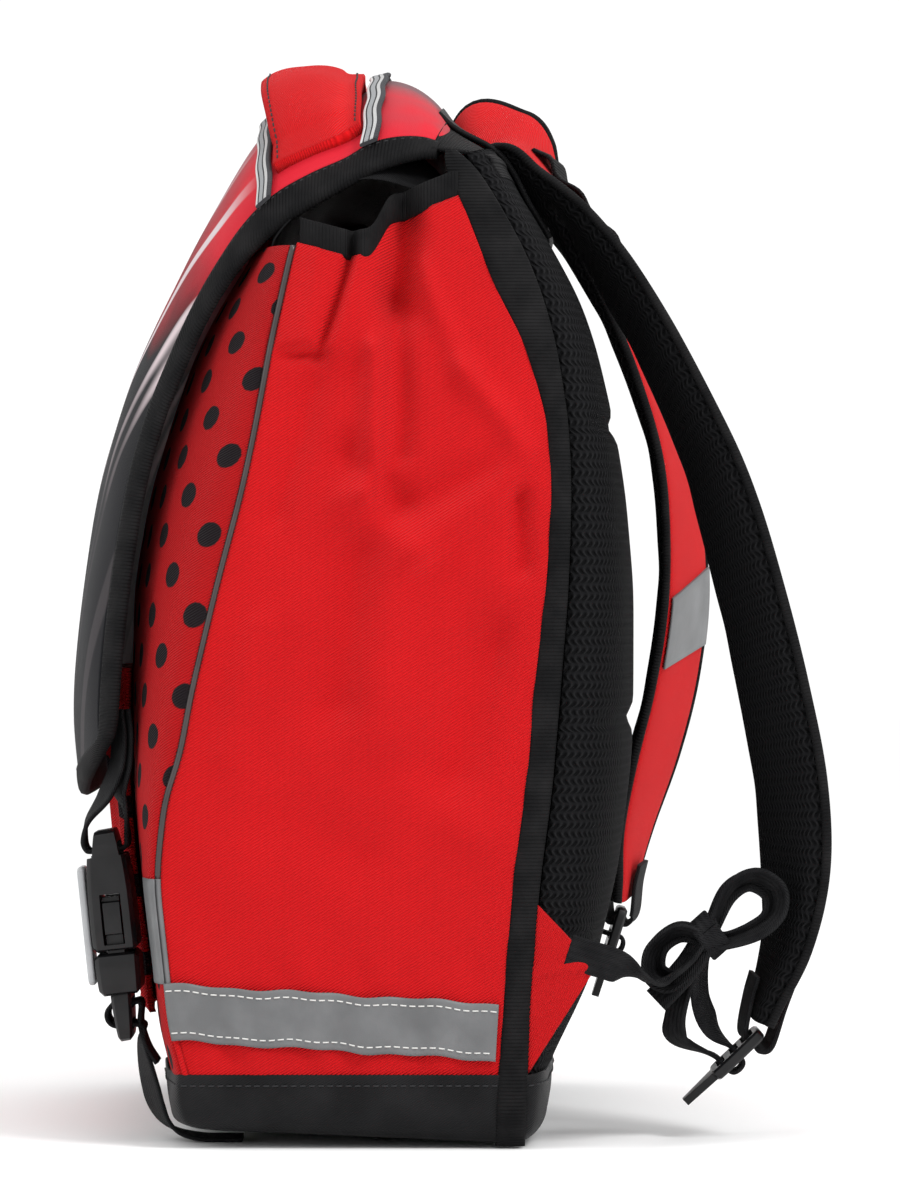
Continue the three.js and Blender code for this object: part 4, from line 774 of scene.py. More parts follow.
coated = Finish("charcoal_coated", 0.5, 0.0, 0.1)
coated.mottle(55, 5.0, 0.35, 0.8, CHARCOAL, CHARCOAL_WORN)
coated.relief(coated.add(twill_weave(coated, 0.0009), coated.times(coated.noise(160, 3.0), 2.0)), 0.00008)

foot = {name: float(outline(name, TRAY_HEIGHT)) for name in OUTLINE_COLUMNS}
front_turn = np.linspace(-math.pi / 2, math.pi / 2, 90)
front_across, front_crown = rounded(front_turn, FRONT_ROUNDING)
back_turn = np.linspace(math.pi / 2, -math.pi / 2, 90)
back_across, back_crown = rounded(back_turn, BACK_ROUNDING)
ring_x = foot["width"] * np.concatenate([front_across, back_across])
ring_y = np.concatenate([foot["seam"] + (foot["front"] - foot["seam"]) * front_crown,
                         foot["edge"] + (foot["back"] - foot["edge"]) * back_crown])
ring_middle = (foot["front"] + foot["back"]) / 2
half_depth = (foot["back"] - foot["front"]) / 2
settle = np.clip((ring_y - 0.1 * BAG_DEPTH) / (0.35 * BAG_DEPTH), 0, 1)
run = np.concatenate([[0], np.cumsum(np.hypot(np.diff(ring_x), np.diff(ring_y)))])
wave = 0.0014 * np.sin(ring_y * 95 + 0.6) + 0.0009 * np.sin(run * 61) + 0.0006 * np.sin(run * 143)
tray_rows = through(TRAY_RINGS, np.linspace(0, len(TRAY_RINGS) - 1, 71))
tray_grid = np.zeros((len(ring_x), len(tray_rows), 3))
for j, (height, inset, lifted, side_inset) in enumerate(tray_rows):
    lift = TRAY_LIFT * max(0.0, lifted) * (1 + (0.15 - 1) * settle)
    tray_grid[:, j, 0] = ring_x * (1 - side_inset / foot["width"])
    tray_grid[:, j, 1] = ring_middle + (ring_y - ring_middle) * (1 - inset / half_depth)
    high = np.clip((height - 0.009) / 0.014, 0, 1)
    tray_grid[:, j, 2] = np.maximum(0, height) + lift + wave * high
crease = ripple(tray_grid, 21, 0.0006, 0.03) * np.clip(tray_grid[..., 2] / 0.012, 0, 1)
tray_grid[..., :2] *= (1 + crease / 0.1)[..., None]

tool = bmesh.new()
uv_layer = tool.loops.layers.uv.new("cloth")
rings = [[tool.verts.new(tray_grid[i, j]) for i in range(len(ring_x))] for j in range(len(tray_rows))]
tray_up = np.concatenate([[0], np.cumsum(np.linalg.norm(np.diff(tray_grid[0], axis=0), axis=1))])
for j in range(len(tray_rows) - 1):
    for i in range(len(ring_x)):
        n = (i + 1) % len(ring_x)
        made = tool.faces.new([rings[j][i], rings[j][n], rings[j + 1][n], rings[j + 1][i]])
        made.smooth = True
        far = run[n] if n else run[-1] + 0.002
        for loop, value in zip(made.loops, ((run[i], tray_up[j]), (far, tray_up[j]),
                                            (far, tray_up[j + 1]), (run[i], tray_up[j + 1]))):
            loop[uv_layer].uv = value
for ring in (rings[0], rings[-1]):
    tool.faces.new(ring)
bmesh.ops.recalc_face_normals(tool, faces=tool.faces)
finish_piece(scene_object("base_tray_cloth", tool), ["base_tray"], coated.material)

dark_thread = Finish("dark_thread", 0.6)
dark_thread.shader.inputs["Base Color"].default_value = (0.025, 0.025, 0.027, 1)
seam_row = next(j for j in range(len(tray_rows)) if tray_rows[j][0] > 0.0215)
seam_line = tray_grid[:, seam_row]
seam_out = np.gradient(seam_line, axis=0)
seam_out = np.stack([seam_out[:, 1], -seam_out[:, 0], 0 * seam_out[:, 0]], axis=-1)
stitches("base_tray_stitches", seam_line, seam_out, STITCH_PITCH, dark_thread.material)


# Flap.
# One stiffened sheet of coated cloth from the seam at the back, over the top and down the front. Its
# print runs from red at the top to charcoal below, with pale slanting bands across it.
FLAP_WIDTH = 0.256
FLAP_WALL = 0.003
FLAP_RIM_ANGLE = 1.257
FLAP_SIDE_SEAM = 0.847
FLAP_SEAT = 0.0008
PRINT_RED = (0.56, 0.016, 0.030, 1)
PRINT_PALE = (0.62, 0.52, 0.54, 1)
PRINT_DARK = (0.011, 0.011, 0.013, 1)
PRINT_GREY = (0.085, 0.086, 0.095, 1)

# crown depth, crown height, rim depth and rim height, as shares of the bag's depth and height
FLAP_ROWS = [
    (0.333, 1.043, 0.275, 1.003), (0.283, 1.073, 0.217, 1.000), (0.200, 1.094, 0.150, 0.993),
    (0.108, 1.099, 0.075, 0.983), (0.025, 1.081, 0.000, 0.969), (-0.092, 1.077, -0.100, 0.949),
    (-0.208, 1.063, -0.200, 0.926), (-0.292, 1.029, -0.292, 0.897), (-0.392, 0.971, -0.367, 0.863),
    (-0.492, 0.911, -0.433, 0.823), (-0.592, 0.841, -0.492, 0.777), (-0.675, 0.771, -0.542, 0.734),
    (-0.750, 0.686, -0.592, 0.674), (-0.800, 0.594, -0.633, 0.594), (-0.833, 0.509, -0.663, 0.509),
    (-0.842, 0.429, -0.679, 0.443), (-0.821, 0.343, -0.683, 0.417),
]
FLAP_LAST = len(FLAP_ROWS) - 1
FLAP_BOTTOM_SEAM = FLAP_LAST - 0.34


def flap_point(share, row):
    share, row = np.broadcast_arrays(np.asarray(share, dtype=float), np.asarray(row, dtype=float))
    across, crown = rounded(share * FLAP_RIM_ANGLE, FRONT_ROUNDING)
    drop = (1 - crown) / (1 - rounded(FLAP_RIM_ANGLE, FRONT_ROUNDING)[1])
    crown_y, crown_z, rim_y, rim_z = np.moveaxis(through(FLAP_ROWS, row), -1, 0)
    return np.stack([FLAP_WIDTH / 2 * across, BAG_DEPTH * (crown_y + (rim_y - crown_y) * drop),
                     BAG_HEIGHT * (crown_z + (rim_z - crown_z) * drop)], axis=-1)


def flap_out(share, row):
    ahead = flap_point(share, np.minimum(FLAP_LAST, row + 0.3)) - flap_point(share, np.maximum(0, row - 0.3))
    right = flap_point(np.minimum(1, share + 0.05), row) - flap_point(np.maximum(-1, share - 0.05), row)
    out = np.cross(ahead, right)
    return out / np.linalg.norm(out, axis=-1, keepdims=True)


def on_flap(share, row, lift):
    return flap_point(share, row) + flap_out(share, row) * np.asarray(lift)[..., None]


printed = Finish("flap_print", 0.6, 0.0, 0.08)
print_across, print_along = printed.cloth_axes()
print_side = printed.math("ABSOLUTE", print_across)
print_cloud = printed.noise(16, 3.0)
print_fall = printed.add(printed.times(print_along, 4.2), printed.times(print_cloud, 0.55))
ground_print = printed.ramp(print_fall, 0.72, 1.22, PRINT_RED, PRINT_DARK)
slant = printed.add(printed.times(print_along, 0.42), print_side)
bands = printed.add(printed.waves(slant, 0.043), printed.times(printed.waves(slant, 0.017), 0.5))
band_share = printed.fade(printed.times(printed.add(bands, print_cloud), 0.4), 0.42, 0.62)
upper_part = printed.fade(print_along, 0.085, 0.115)
lower_fade = printed.fade(print_along, 0.175, 0.24, 1.0, 0.05)
pale_share = printed.times(printed.times(band_share, upper_part), lower_fade)
rear_shade = printed.times(printed.fade(print_along, 0.0, 0.05, 1.0, 0.0),
                           printed.fade(print_cloud, 0.42, 0.62, 0.0, 0.8))
crown_shade = printed.times(
    printed.fade(printed.add(print_side, printed.times(print_cloud, 0.05)), 0.065, 0.120, 0.85, 0.0),
    printed.fade(print_along, 0.10, 0.17, 1.0, 0.0))
shaded_print = printed.blend(printed.math("MAXIMUM", rear_shade, crown_shade), ground_print, PRINT_GREY)
printed.colour(printed.blend(pale_share, shaded_print, PRINT_PALE))
printed.relief(twill_weave(printed, 0.0008), 0.00005)

flap_shares, flap_rows = np.meshgrid(
    np.linspace(-0.86, 0.86, 110), np.linspace(0, FLAP_BOTTOM_SEAM + 0.1, 150), indexing="ij")
flap_grid = on_flap(flap_shares, flap_rows, 0 * flap_rows)
flap_grid += flap_out(flap_shares, flap_rows) * ripple(flap_grid, 31, 0.0005, 0.08)[..., None]
flap_cloth = cloth_wall("flap_cloth", flap_grid, FLAP_WALL, (0, 0, 1))
finish_piece(flap_cloth, ["flap"], printed.material)


# Flap binding.
# Black grosgrain folded over the flap's edge and sewn through, down one side, round the lower corners
# and up the other side.
RIM_STEPS = 150
RIM_FOOT_STEPS = 60
RIM_CORNER_ROW = 15.2
LONG_STITCH = 0.003

side_rows = np.linspace(0, RIM_CORNER_ROW, RIM_STEPS)
turn = np.linspace(0, math.pi / 2, 24)
edge_share = np.concatenate([np.full(RIM_STEPS, 1.0), 0.94 + 0.06 * np.cos(turn),
                             np.linspace(0.92, 0, RIM_FOOT_STEPS)])
edge_row = np.concatenate([side_rows, RIM_CORNER_ROW + 0.8 * np.sin(turn), np.full(RIM_FOOT_STEPS, 16.0)])
inner_share = np.concatenate([np.full(RIM_STEPS, FLAP_SIDE_SEAM), 0.80 + 0.047 * np.cos(turn),
                              np.linspace(0.79, 0, RIM_FOOT_STEPS)])
inner_row = np.concatenate([side_rows, RIM_CORNER_ROW + 0.42 * np.sin(turn), np.full(RIM_FOOT_STEPS, 15.62)])


def both_sides(half):
    """The right half of the rim's run, then its mirrored left half back up."""
    return np.concatenate([half, half[-2::-1] * np.array([-1.0, 1.0, 1.0])])


rim_edge = both_sides(on_flap(edge_share, edge_row, 0 * edge_row))
rim_inner = both_sides(on_flap(inner_share, inner_row, 0 * inner_row))
rim_out = both_sides(flap_out((edge_share + inner_share) / 2, (edge_row + inner_row) / 2))
rim_across = rim_edge - rim_inner
rim_width = np.linalg.norm(rim_across, axis=1)
rim_across /= rim_width[:, None]
rim_middle = (rim_edge + rim_inner) / 2 - rim_out * FLAP_WALL / 2
rim_sections = [flat_section(w + 0.0006, 0.0044, 0.0003) for w in rim_width]
flap_binding = sweep("flap_binding_tape", rim_middle, rim_across, rim_out, rim_sections)
finish_piece(flap_binding, ["flap_binding"], ribbed.material)
rim_seam = rim_inner + rim_across * 0.0026 + rim_out * 0.0004
stitches("flap_binding_stitches", rim_seam, rim_out, LONG_STITCH, dark_thread.material)


# Mouth cover.
# A near-black sheet over the mouth of the bag under the flap: painted shade for the shaded inside of
# the bag, not a lining. It reaches from the front to the back, its middle raised as if by what the bag holds.
COVER_HALF_WIDTH = 0.122
COVER_FRONT = -0.026
COVER_REACH = 0.068
COVER_FOOT = 0.316
COVER_RISE = 0.012
COVER_HUMP = 0.040
COVER_WALL = 0.0006

cover_x, cover_run = np.meshgrid(
    np.linspace(-COVER_HALF_WIDTH, COVER_HALF_WIDTH, 90), np.linspace(0, 1, 60), indexing="ij")
cover_hump = np.sin(math.pi * np.clip(cover_run * 1.02, 0, 1)) ** 0.55
cover_hump *= 1 - 0.55 * np.abs(cover_x / COVER_HALF_WIDTH) ** 4
cover_grid = np.stack([cover_x, COVER_FRONT + COVER_REACH * cover_run,
                       COVER_FOOT + COVER_RISE * cover_run + COVER_HUMP * cover_hump], axis=-1)
cover_grid[..., 2] += ripple(cover_grid, 51, 0.0015, 0.04)
# Near-black colour throughout: painted shade for the dark inside of the bag.
mouth_shade_finish = Finish("painted_shade_under_flap", 0.7, 0.0, 0.15)
mouth_shade_finish.mottle(70, 4.0, 0.35, 0.8, (0.004, 0.004, 0.0045, 1), (0.010, 0.010, 0.011, 1))
mouth_shade_finish.relief(twill_weave(mouth_shade_finish, 0.0008), 0.00008)
dark_mouth_sheet = cloth_wall("mouth_shade_sheet", cover_grid, COVER_WALL, (0, 0, 1))
finish_piece(dark_mouth_sheet, [], mouth_shade_finish.material)


# Striped tapes.
# Two narrow woven tapes with grey, white and black stripes, sewn across the flap on each side of the
# handle, their ends running in under the binding.
TRIM_WIDTH = 0.007
TRIM_WALL = 0.0018
TRIM_SEAT = 0.0012
TRIM_REACH = 0.875
TRIM_STEPS = 140
STRIPES = [(0.0, (0.05, 0.05, 0.055, 1)), (0.10, (0.48, 0.48, 0.48, 1)), (0.28, (0.03, 0.03, 0.033, 1)),
           (0.36, (0.30, 0.31, 0.32, 1)), (0.60, (0.03, 0.03, 0.033, 1)), (0.68, (0.60, 0.60, 0.60, 1)),
           (0.88, (0.05, 0.05, 0.055, 1))]

striped = Finish("striped_tape", 0.7, 0.0, 0.2)
stripe_across, stripe_along = striped.cloth_axes()
stripe_node = striped.node("ShaderNodeValToRGB")
stripe_node.color_ramp.interpolation = "CONSTANT"
stripe_node.color_ramp.elements[0].position = STRIPES[0][0]
stripe_node.color_ramp.elements[0].color = STRIPES[0][1]
stripe_node.color_ramp.elements[1].position = STRIPES[-1][0]
stripe_node.color_ramp.elements[1].color = STRIPES[-1][1]
for position, colour in STRIPES[1:-1]:
    stripe_node.color_ramp.elements.new(position).color = colour
striped.link(striped.math("DIVIDE", stripe_across, TRIM_WIDTH), stripe_node.inputs[0])
striped.colour(stripe_node.outputs[0])
striped.relief(striped.waves(stripe_along, 0.0009), 0.00015)

for name, row in (("flap_tape_front", 6.25), ("flap_tape_rear", 3.0)):
    share = np.linspace(-TRIM_REACH, TRIM_REACH, TRIM_STEPS)
    line = on_flap(share, row, np.full(TRIM_STEPS, TRIM_SEAT + TRIM_WALL / 2))
    down = flap_point(share, row + 0.1) - flap_point(share, row - 0.1)
    down /= np.linalg.norm(down, axis=1, keepdims=True)
    line += down * (0.0004 * np.sin(share * 30))[:, None]
    tape = sweep(f"{name}_strip", line, down, flap_out(share, row), flat_section(TRIM_WIDTH, TRIM_WALL))
    finish_piece(tape, [name], striped.material)


# Handle.
# A padded band of red twill between the two tapes, sewn down at both ends and free of the flap in the
# middle, where a hand goes under it.
HANDLE_ROWS = (3.35, 5.90)
HANDLE_WALL = 0.0045
HANDLE_LIFT = 0.0105
HANDLE_REAR_LIFT = 0.0015
HANDLE_PLUMP = 0.0022
HANDLE_REACH = 0.770

handle_shares, handle_rows = np.meshgrid(
    np.linspace(-HANDLE_REACH, HANDLE_REACH, 100), np.linspace(*HANDLE_ROWS, 40), indexing="ij")
forward = (handle_rows - HANDLE_ROWS[0]) / (HANDLE_ROWS[1] - HANDLE_ROWS[0])
free = np.clip(1 - (np.abs(handle_shares) / (0.86 * HANDLE_REACH)) ** 4, 0, 1)
arch = (HANDLE_REAR_LIFT + (HANDLE_LIFT - HANDLE_REAR_LIFT) * forward) * free
plump = HANDLE_PLUMP * np.clip(1 - (2 * forward - 1) ** 4, 0, 1)
plump *= np.clip(6 * (1 - np.abs(handle_shares) / HANDLE_REACH), 0.15, 1)
handle_grid = on_flap(handle_shares, handle_rows, FLAP_SEAT + HANDLE_WALL - 0.001 + arch + plump)
handle_grid += flap_out(handle_shares, handle_rows) * ripple(handle_grid, 41, 0.0006, 0.03)[..., None]
handle = cloth_wall("handle_band", handle_grid, HANDLE_WALL, (0, 0, 1))
finish_piece(handle, ["handle"], plain_red.material)
for edge, column in (("rear", 2), ("front", 37)):
    out = flap_out(handle_shares[:, column], handle_rows[:, column])
    stitches(f"handle_{edge}_stitches", handle_grid[:, column], out, LONG_STITCH, dark_thread.material)


# Yoke.
# A black tape closes the seam between the flap and the back panel over its whole width. A coated patch
# lies over its middle and takes the upper ends of the shoulder straps.
YOKE_HALF_WIDTH = 0.56 * BAG_WIDTH / 2
YOKE_WALL = 0.0018
SEAM_HALF_WIDTH = 0.1215
SEAM_LIFT = 0.0004


def yoke_rows(x, seat=FLAP_SEAT + YOKE_WALL, reach=(0.8, 0), heights=(1.0, 0.957, 0.925)):
    share = np.sign(x) * np.arcsin((np.abs(x) / (FLAP_WIDTH / 2)) ** (FRONT_ROUNDING / 2)) / FLAP_RIM_ANGLE
    rows = [on_flap(share, np.full_like(share, row), np.full_like(share, lift))
            for row, lift in zip(reach, (min(seat, 0.0008), seat))]
    for height in heights:
        z = np.full_like(x, height * BAG_HEIGHT)
        angle = np.sign(x) * np.arcsin(
            (np.abs(x) / (outline("width", z) - BACK_INSET)) ** (BACK_ROUNDING / 2))
        rows.append(back_point(angle, z, seat))
    return rows


seam_x = np.linspace(-SEAM_HALF_WIDTH, SEAM_HALF_WIDTH, 110)
seam_rows = yoke_rows(seam_x, SEAM_LIFT, (0.35, 0), (0.995, 0.985, 0.975))
seam_grid = np.moveaxis(through(np.array(seam_rows), np.linspace(0, 4, 24)), 0, 1)
seam_tape = cloth_wall("flap_seam_tape", seam_grid, 0.0012, (0, 0.5, 1))
finish_piece(seam_tape, [], ribbed.material)

yoke_x = np.linspace(-YOKE_HALF_WIDTH, YOKE_HALF_WIDTH, 60)
yoke_grid = np.moveaxis(through(np.array(yoke_rows(yoke_x)), np.linspace(0, 4, 30)), 0, 1)
yoke = cloth_wall("back_yoke_patch", yoke_grid, YOKE_WALL, (0, 0.5, 1))
finish_piece(yoke, ["back_yoke"], coated.material)
yoke_out = grid_normals(yoke_grid, (0, 0.5, 1))
stitches("back_yoke_stitches", yoke_grid[:, 27], yoke_out[:, 27], STITCH_PITCH, dark_thread.material)


# Shoulder straps.
# Each is foam under black spacer mesh on the wearer's side, faced outside with red twill, its edges
# closed with piped tape. A strip of webbing is tacked down the upper part of the facing, and a short
# piece of reflective tape crosses it lower down.
STRAP_WIDTH = 0.056
STRAP_PAD = 0.006
STRAP_FACING = 0.0024
EDGE_CORD = 0.0017
TOP_ROLL = 0.5
STRAP_STEPS = 170
END_STEPS = 8
END_REACH = 0.27
TACKED = slice(38, 66)
TACK_RISE = 0.0024
STRIP_WIDTH = 0.020
STRIP_WALL = 0.0015
PATCHED = slice(118, 130)

# across, depth and height shares, twist and width share
STRAP_HEAD = [
    (0.35, 0.330, 1.020, 0, 0.70), (0.36, 0.390, 1.043, 0, 0.76), (0.38, 0.479, 1.037, 0.04, 0.82),
    (0.40, 0.545, 1.022, 0.07, 0.86), (0.43, 0.620, 0.985, 0.10, 0.92),
]
RIGHT_STRAP = STRAP_HEAD + [
    (0.48, 0.735, 0.932, 0.14, 1), (0.52, 0.842, 0.875, 0.18, 1),
    (0.57, 0.960, 0.802, 0.20, 1), (0.61, 1.070, 0.719, 0.24, 1), (0.65, 1.150, 0.640, 0.30, 1),
    (0.68, 1.220, 0.550, 0.33, 1), (0.70, 1.280, 0.460, 0.35, 1), (0.71, 1.330, 0.365, 0.36, 1),
    (0.71, 1.345, 0.277, 0.34, 0.96), (0.70, 1.320, 0.197, 0.26, 0.8), (0.69, 1.265, 0.137, 0.14, 0.62),
]
LEFT_STRAP = STRAP_HEAD + [
    (0.47, 0.735, 0.932, 0.14, 1), (0.50, 0.842, 0.875, 0.16, 1),
    (0.54, 0.945, 0.802, 0.20, 1), (0.58, 1.030, 0.719, 0.24, 1), (0.63, 1.070, 0.640, 0.28, 1),
    (0.69, 1.080, 0.550, 0.32, 1), (0.75, 1.050, 0.460, 0.34, 1), (0.81, 0.990, 0.370, 0.34, 0.98),
    (0.86, 0.930, 0.290, 0.28, 0.86), (0.88, 0.900, 0.230, 0.20, 0.66),
]


def from_shares(sign, rows):
    """Places given as shares of half the bag's width, of its depth and of its height."""
    return np.asarray(rows, dtype=float)[..., :3] * np.array([sign * BAG_WIDTH / 2, BAG_DEPTH, BAG_HEIGHT])


def strip_frame(path, across):
    """The ways across a strip and out of its face, square to its path."""
    along = np.gradient(path, axis=0)
    along /= np.linalg.norm(along, axis=1, keepdims=True)
    across = across - along * np.sum(across * along, axis=1, keepdims=True)
    across /= np.linalg.norm(across, axis=1, keepdims=True)
    return across, np.cross(across, along)


def strap_run(sign, table):
    """A strap's middle line, its ways across and out, and half its width, all the way to its end."""
    drawn = np.array(table)
    last = len(table) - 1
    at = np.concatenate([np.linspace(0, last, STRAP_STEPS), last + np.linspace(1 / END_STEPS, 1, END_STEPS)])
    rows = through(np.concatenate([drawn, [drawn[-1] + END_REACH * (drawn[-1] - drawn[-2])]]), at)
    path = from_shares(sign, rows)
    roll = TOP_ROLL * swell(np.maximum(0, at - 3.0), 1.5)
    across = np.stack([np.cos(rows[:, 3]), sign * np.sin(rows[:, 3]), -sign * np.tan(roll)], axis=-1)
    across, out = strip_frame(path, across)
    return path, across, out, rows[:, 4] * STRAP_WIDTH / 2


def dome_section(half, low, high, fullness, steps=18):
    """A padded strip's section: flat where it meets its partner, crowned on its other face."""
    face = []
    for t in np.linspace(-1, 1, steps):
        face.append((half * t, low + (high - low) * (1 - abs(t) ** fullness) ** 0.5))
    return face + [(half * t, low) for t in np.linspace(0.96, -0.96, steps)]


for side, sign, table in (("right", RIGHT, RIGHT_STRAP), ("left", LEFT, LEFT_STRAP)):
    path, across, out, half = strap_run(sign, table)
    count = len(path)
    quilting = 1 - 0.10 * np.abs(np.sin(np.linspace(0, 17, count) * math.pi / 2)) ** 8
    sections = [dome_section(h - 0.0006, -0.0002, -STRAP_PAD * q, 5) for h, q in zip(half, quilting)]
    pad = sweep(f"strap_pad_{side}_foam", path, across, out, sections)
    finish_piece(pad, [f"strap_pad_{side}"], spacer_mesh.material)
    sections = [dome_section(h - 0.0010, 0.0003, STRAP_FACING, 6) for h in half]
    facing = sweep(f"strap_facing_{side}_cloth", path, across, out, sections)
    finish_piece(facing, [f"strap_facing_{side}"], plain_red.material)
    for edge, turn in (("inner", -1), ("outer", 1)):
        line = path + across * (turn * (half - 0.0004))[:, None] + out * 0.0001
        piping = sweep(f"strap_piping_{side}_{edge}", line, across, out, round_section(EDGE_CORD))
        finish_piece(piping, [], ribbed.material)
    tacks = np.linspace(0, 3 * math.pi, TACKED.stop - TACKED.start)
    rise = STRAP_FACING + 0.0009 + TACK_RISE * np.sin(tacks) ** 2
    strip = sweep(f"strap_webbing_{side}", path[TACKED] + out[TACKED] * rise[:, None], across[TACKED],
                  out[TACKED], flat_section(STRIP_WIDTH, STRIP_WALL))
    finish_piece(strip, [], ribbed.material)
    strip = sweep(f"strap_reflector_{side}", path[PATCHED] + out[PATCHED] * (STRAP_FACING + 0.0003),
                  across[PATCHED], out[PATCHED], [flat_section(2 * h - 0.006, 0.0010) for h in half[PATCHED]])
    finish_piece(strip, [], bead_tape.material)


# Anchor tabs.
# Triangles of folded red twill sewn into the foot of the rear seams, where the adjusting webbing
# of each strap starts.
TAB_HIGH = 0.245 * BAG_HEIGHT
TAB_WALL = 0.0024
TAB_TIP = (0.742 * BAG_DEPTH, 0.183 * BAG_HEIGHT)
TAB_BLUNT = 0.94

for side, sign in (("right", RIGHT), ("left", LEFT)):
    outside = float(outline("width", TAB_HIGH)) - 0.0006
    seam_z, reach = np.meshgrid(
        np.linspace(TRAY_HEIGHT + 0.001, TAB_HIGH, 50), np.linspace(0, 1, 34), indexing="ij")
    seam_y = outline("edge", seam_z) + 0.0003
    tab_y = seam_y + (TAB_TIP[0] - seam_y) * reach * TAB_BLUNT
    tab_z = seam_z + (TAB_TIP[1] - seam_z) * reach * TAB_BLUNT
    fold = 0.0007 * swell(tab_z - TAB_TIP[1] - 0.1 * (tab_y - TAB_TIP[0]), 0.0022)
    tab_x = sign * (outside + 0.0002 + fold + 0.0005 * np.sin(tab_y * 160))
    tab_grid = np.stack([tab_x, tab_y, tab_z], axis=-1)
    tab = cloth_wall(f"anchor_tab_{side}_cloth", tab_grid, TAB_WALL, (sign, 0, 0))
    finish_piece(tab, [f"anchor_tab_{side}"], plain_red.material)


# Ladder locks and buckles.
# Moulded black plastic with softened edges: a three-bar lock with a pointed tongue on each strap, and
# a side-release buckle with a grey reflector plate under each side of the flap.
MOULD_EDGE = 0.0005
BUCKLE_EDGE = 0.0014
BUCKLE_LEAN = 0.105
ROUND_OFF = 0.42

moulded = Finish("black_plastic", 0.34, 0.0, 0.3)
moulded.mottle(120, 4.0, 0.3, 0.8, (0.004, 0.004, 0.0045, 1), (0.010, 0.010, 0.011, 1))
moulded.relief(moulded.noise(1500, 2.0), 0.00002)

plate_finish = Finish("reflector_plastic", 0.3, 0.0, 0.5)
plate_finish.mottle(90, 3.0, 0.3, 0.7, (0.32, 0.33, 0.34, 1), (0.42, 0.43, 0.44, 1))
plate_finish.relief(plate_finish.noise(900, 2.0), 0.00002)


def round_end(tool, upward):
    """Draws one end of a buckle half in, front and rear, as its shell is rounded off there."""
    low, high = (pick(v.co.z for v in tool.verts) for pick in (min, max))
    span = high - low
    for share in (0.35, 0.5, 0.62, 0.72, 0.8, 0.87, 0.93):
        level = low + span * (share if upward else 1 - share)
        bmesh.ops.bisect_plane(tool, geom=tool.verts[:] + tool.edges[:] + tool.faces[:],
                               plane_co=(0, 0, level), plane_no=(0, 0, 1))
    centre_y = (min(v.co.y for v in tool.verts) + max(v.co.y for v in tool.verts)) / 2
    for vert in tool.verts:
        share = (vert.co.z - low) / span if upward else (high - vert.co.z) / span
        line = centre_y - BUCKLE_LEAN * (vert.co.z - (low + high) / 2)
        vert.co.y = line + (vert.co.y - line) * (1 - ROUND_OFF * share ** 4)


def mould(node, material, edge=MOULD_EDGE, end=None):
    """A copy of a moulded CAD node with its flat faces joined and its edges rounded."""
    tool = bmesh.new()
    tool.from_mesh(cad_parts[node].data)
    bmesh.ops.remove_doubles(tool, verts=tool.verts, dist=0.00002)
    bmesh.ops.dissolve_limit(tool, angle_limit=math.radians(2), verts=tool.verts, edges=tool.edges)
    sharp = [e for e in tool.edges if len(e.link_faces) == 2 and e.calc_face_angle(0) > math.radians(25)]
    bmesh.ops.bevel(tool, geom=sharp, offset=edge, segments=3, profile=0.6, affect="EDGES",
                    clamp_overlap=True)
    if end is not None:
        round_end(tool, end)
    bmesh.ops.triangulate(tool, faces=[f for f in tool.faces if len(f.verts) > 4])
    for made in tool.faces:
        made.smooth = True
    piece = scene_object(f"{node}_mould", tool)
    piece.data.set_sharp_from_angle(angle=math.radians(38))
    finish_piece(piece, [node], material)


for side in ("right", "left"):
    mould(f"ladder_lock_{side}", moulded.material)
    for part, upward in (("buckle_female", True), ("buckle_male", False)):
        mould(f"{part}_{side}", moulded.material, BUCKLE_EDGE, upward)
    mould(f"buckle_reflector_{side}", plate_finish.material, 0.0004)


# Webbing.
# Black woven webbing: loops that hold the ladder locks, the adjusting straps with the near one's
# spare length tied in a bow, and the straps of both buckles with their loose tails at the base.
CLEARANCE = 0.0004
WEBBING_WIDTH = 0.020
WEBBING_WALL = 0.0016
ADJUST_WIDTH = 0.012
LOOP_WIDTH = 0.017
BOW_LOOP = 0.027
BUCKLE_DEPTH = 0.016
LOCK_DROP = 0.010
SLOT_IN_AT = 0.0115
SLOT_OUT_AT = 0.018
LOOP_SLOT_AT = 0.0051
BUCKLE_CENTRE = 0.104
SIDEWAYS = np.array([1.0, 0.0, 0.0])

woven = Finish("black_webbing", 0.75, 0.0, 0.15)
weave_across, weave_along = woven.cloth_axes()
woven.mottle(140, 4.0, 0.35, 0.8, (0.005, 0.005, 0.006, 1), (0.016, 0.016, 0.017, 1))
woven.relief(woven.add(woven.waves(weave_across, 0.0024),
                       woven.waves(woven.add(weave_along, weave_across), 0.0011)), 0.00018)


def unit(vector):
    vector = np.asarray(vector, dtype=float)
    return vector / np.linalg.norm(vector)


def hardware_frame(origin, along, out):
    """Places in the middle plane of a lock or a buckle: so far out of its face and so far along it."""
    return lambda off, run: origin + out * off + along * run


def webbing(name, points, width, across, nodes):
    points = np.asarray(points, dtype=float)
    at = np.linspace(0, len(points) - 1, 8 * (len(points) - 1) + 1)
    path = through(points, at)
    ways, out = strip_frame(path, through(np.broadcast_to(across, points.shape), at))
    strip = sweep(name, path, ways, out, flat_section(width, WEBBING_WALL))
    finish_piece(strip, nodes, woven.material)


def strap_end(sign, table, forward):
    path = from_shares(sign, table)
    along = unit(path[-1] - path[-2])
    twist = table[-1][3]
    across = np.array([math.cos(twist), sign * math.sin(twist), 0])
    across = unit(across - along * (across @ along))
    down = np.array([0, -math.cos(forward), -math.sin(forward)])
    face = np.array([0, -math.sin(forward), math.cos(forward)])
    lock = hardware_frame(path[-1] + along * LOCK_DROP, down, face)
    return path[-1], along, across, np.cross(across, along), lock


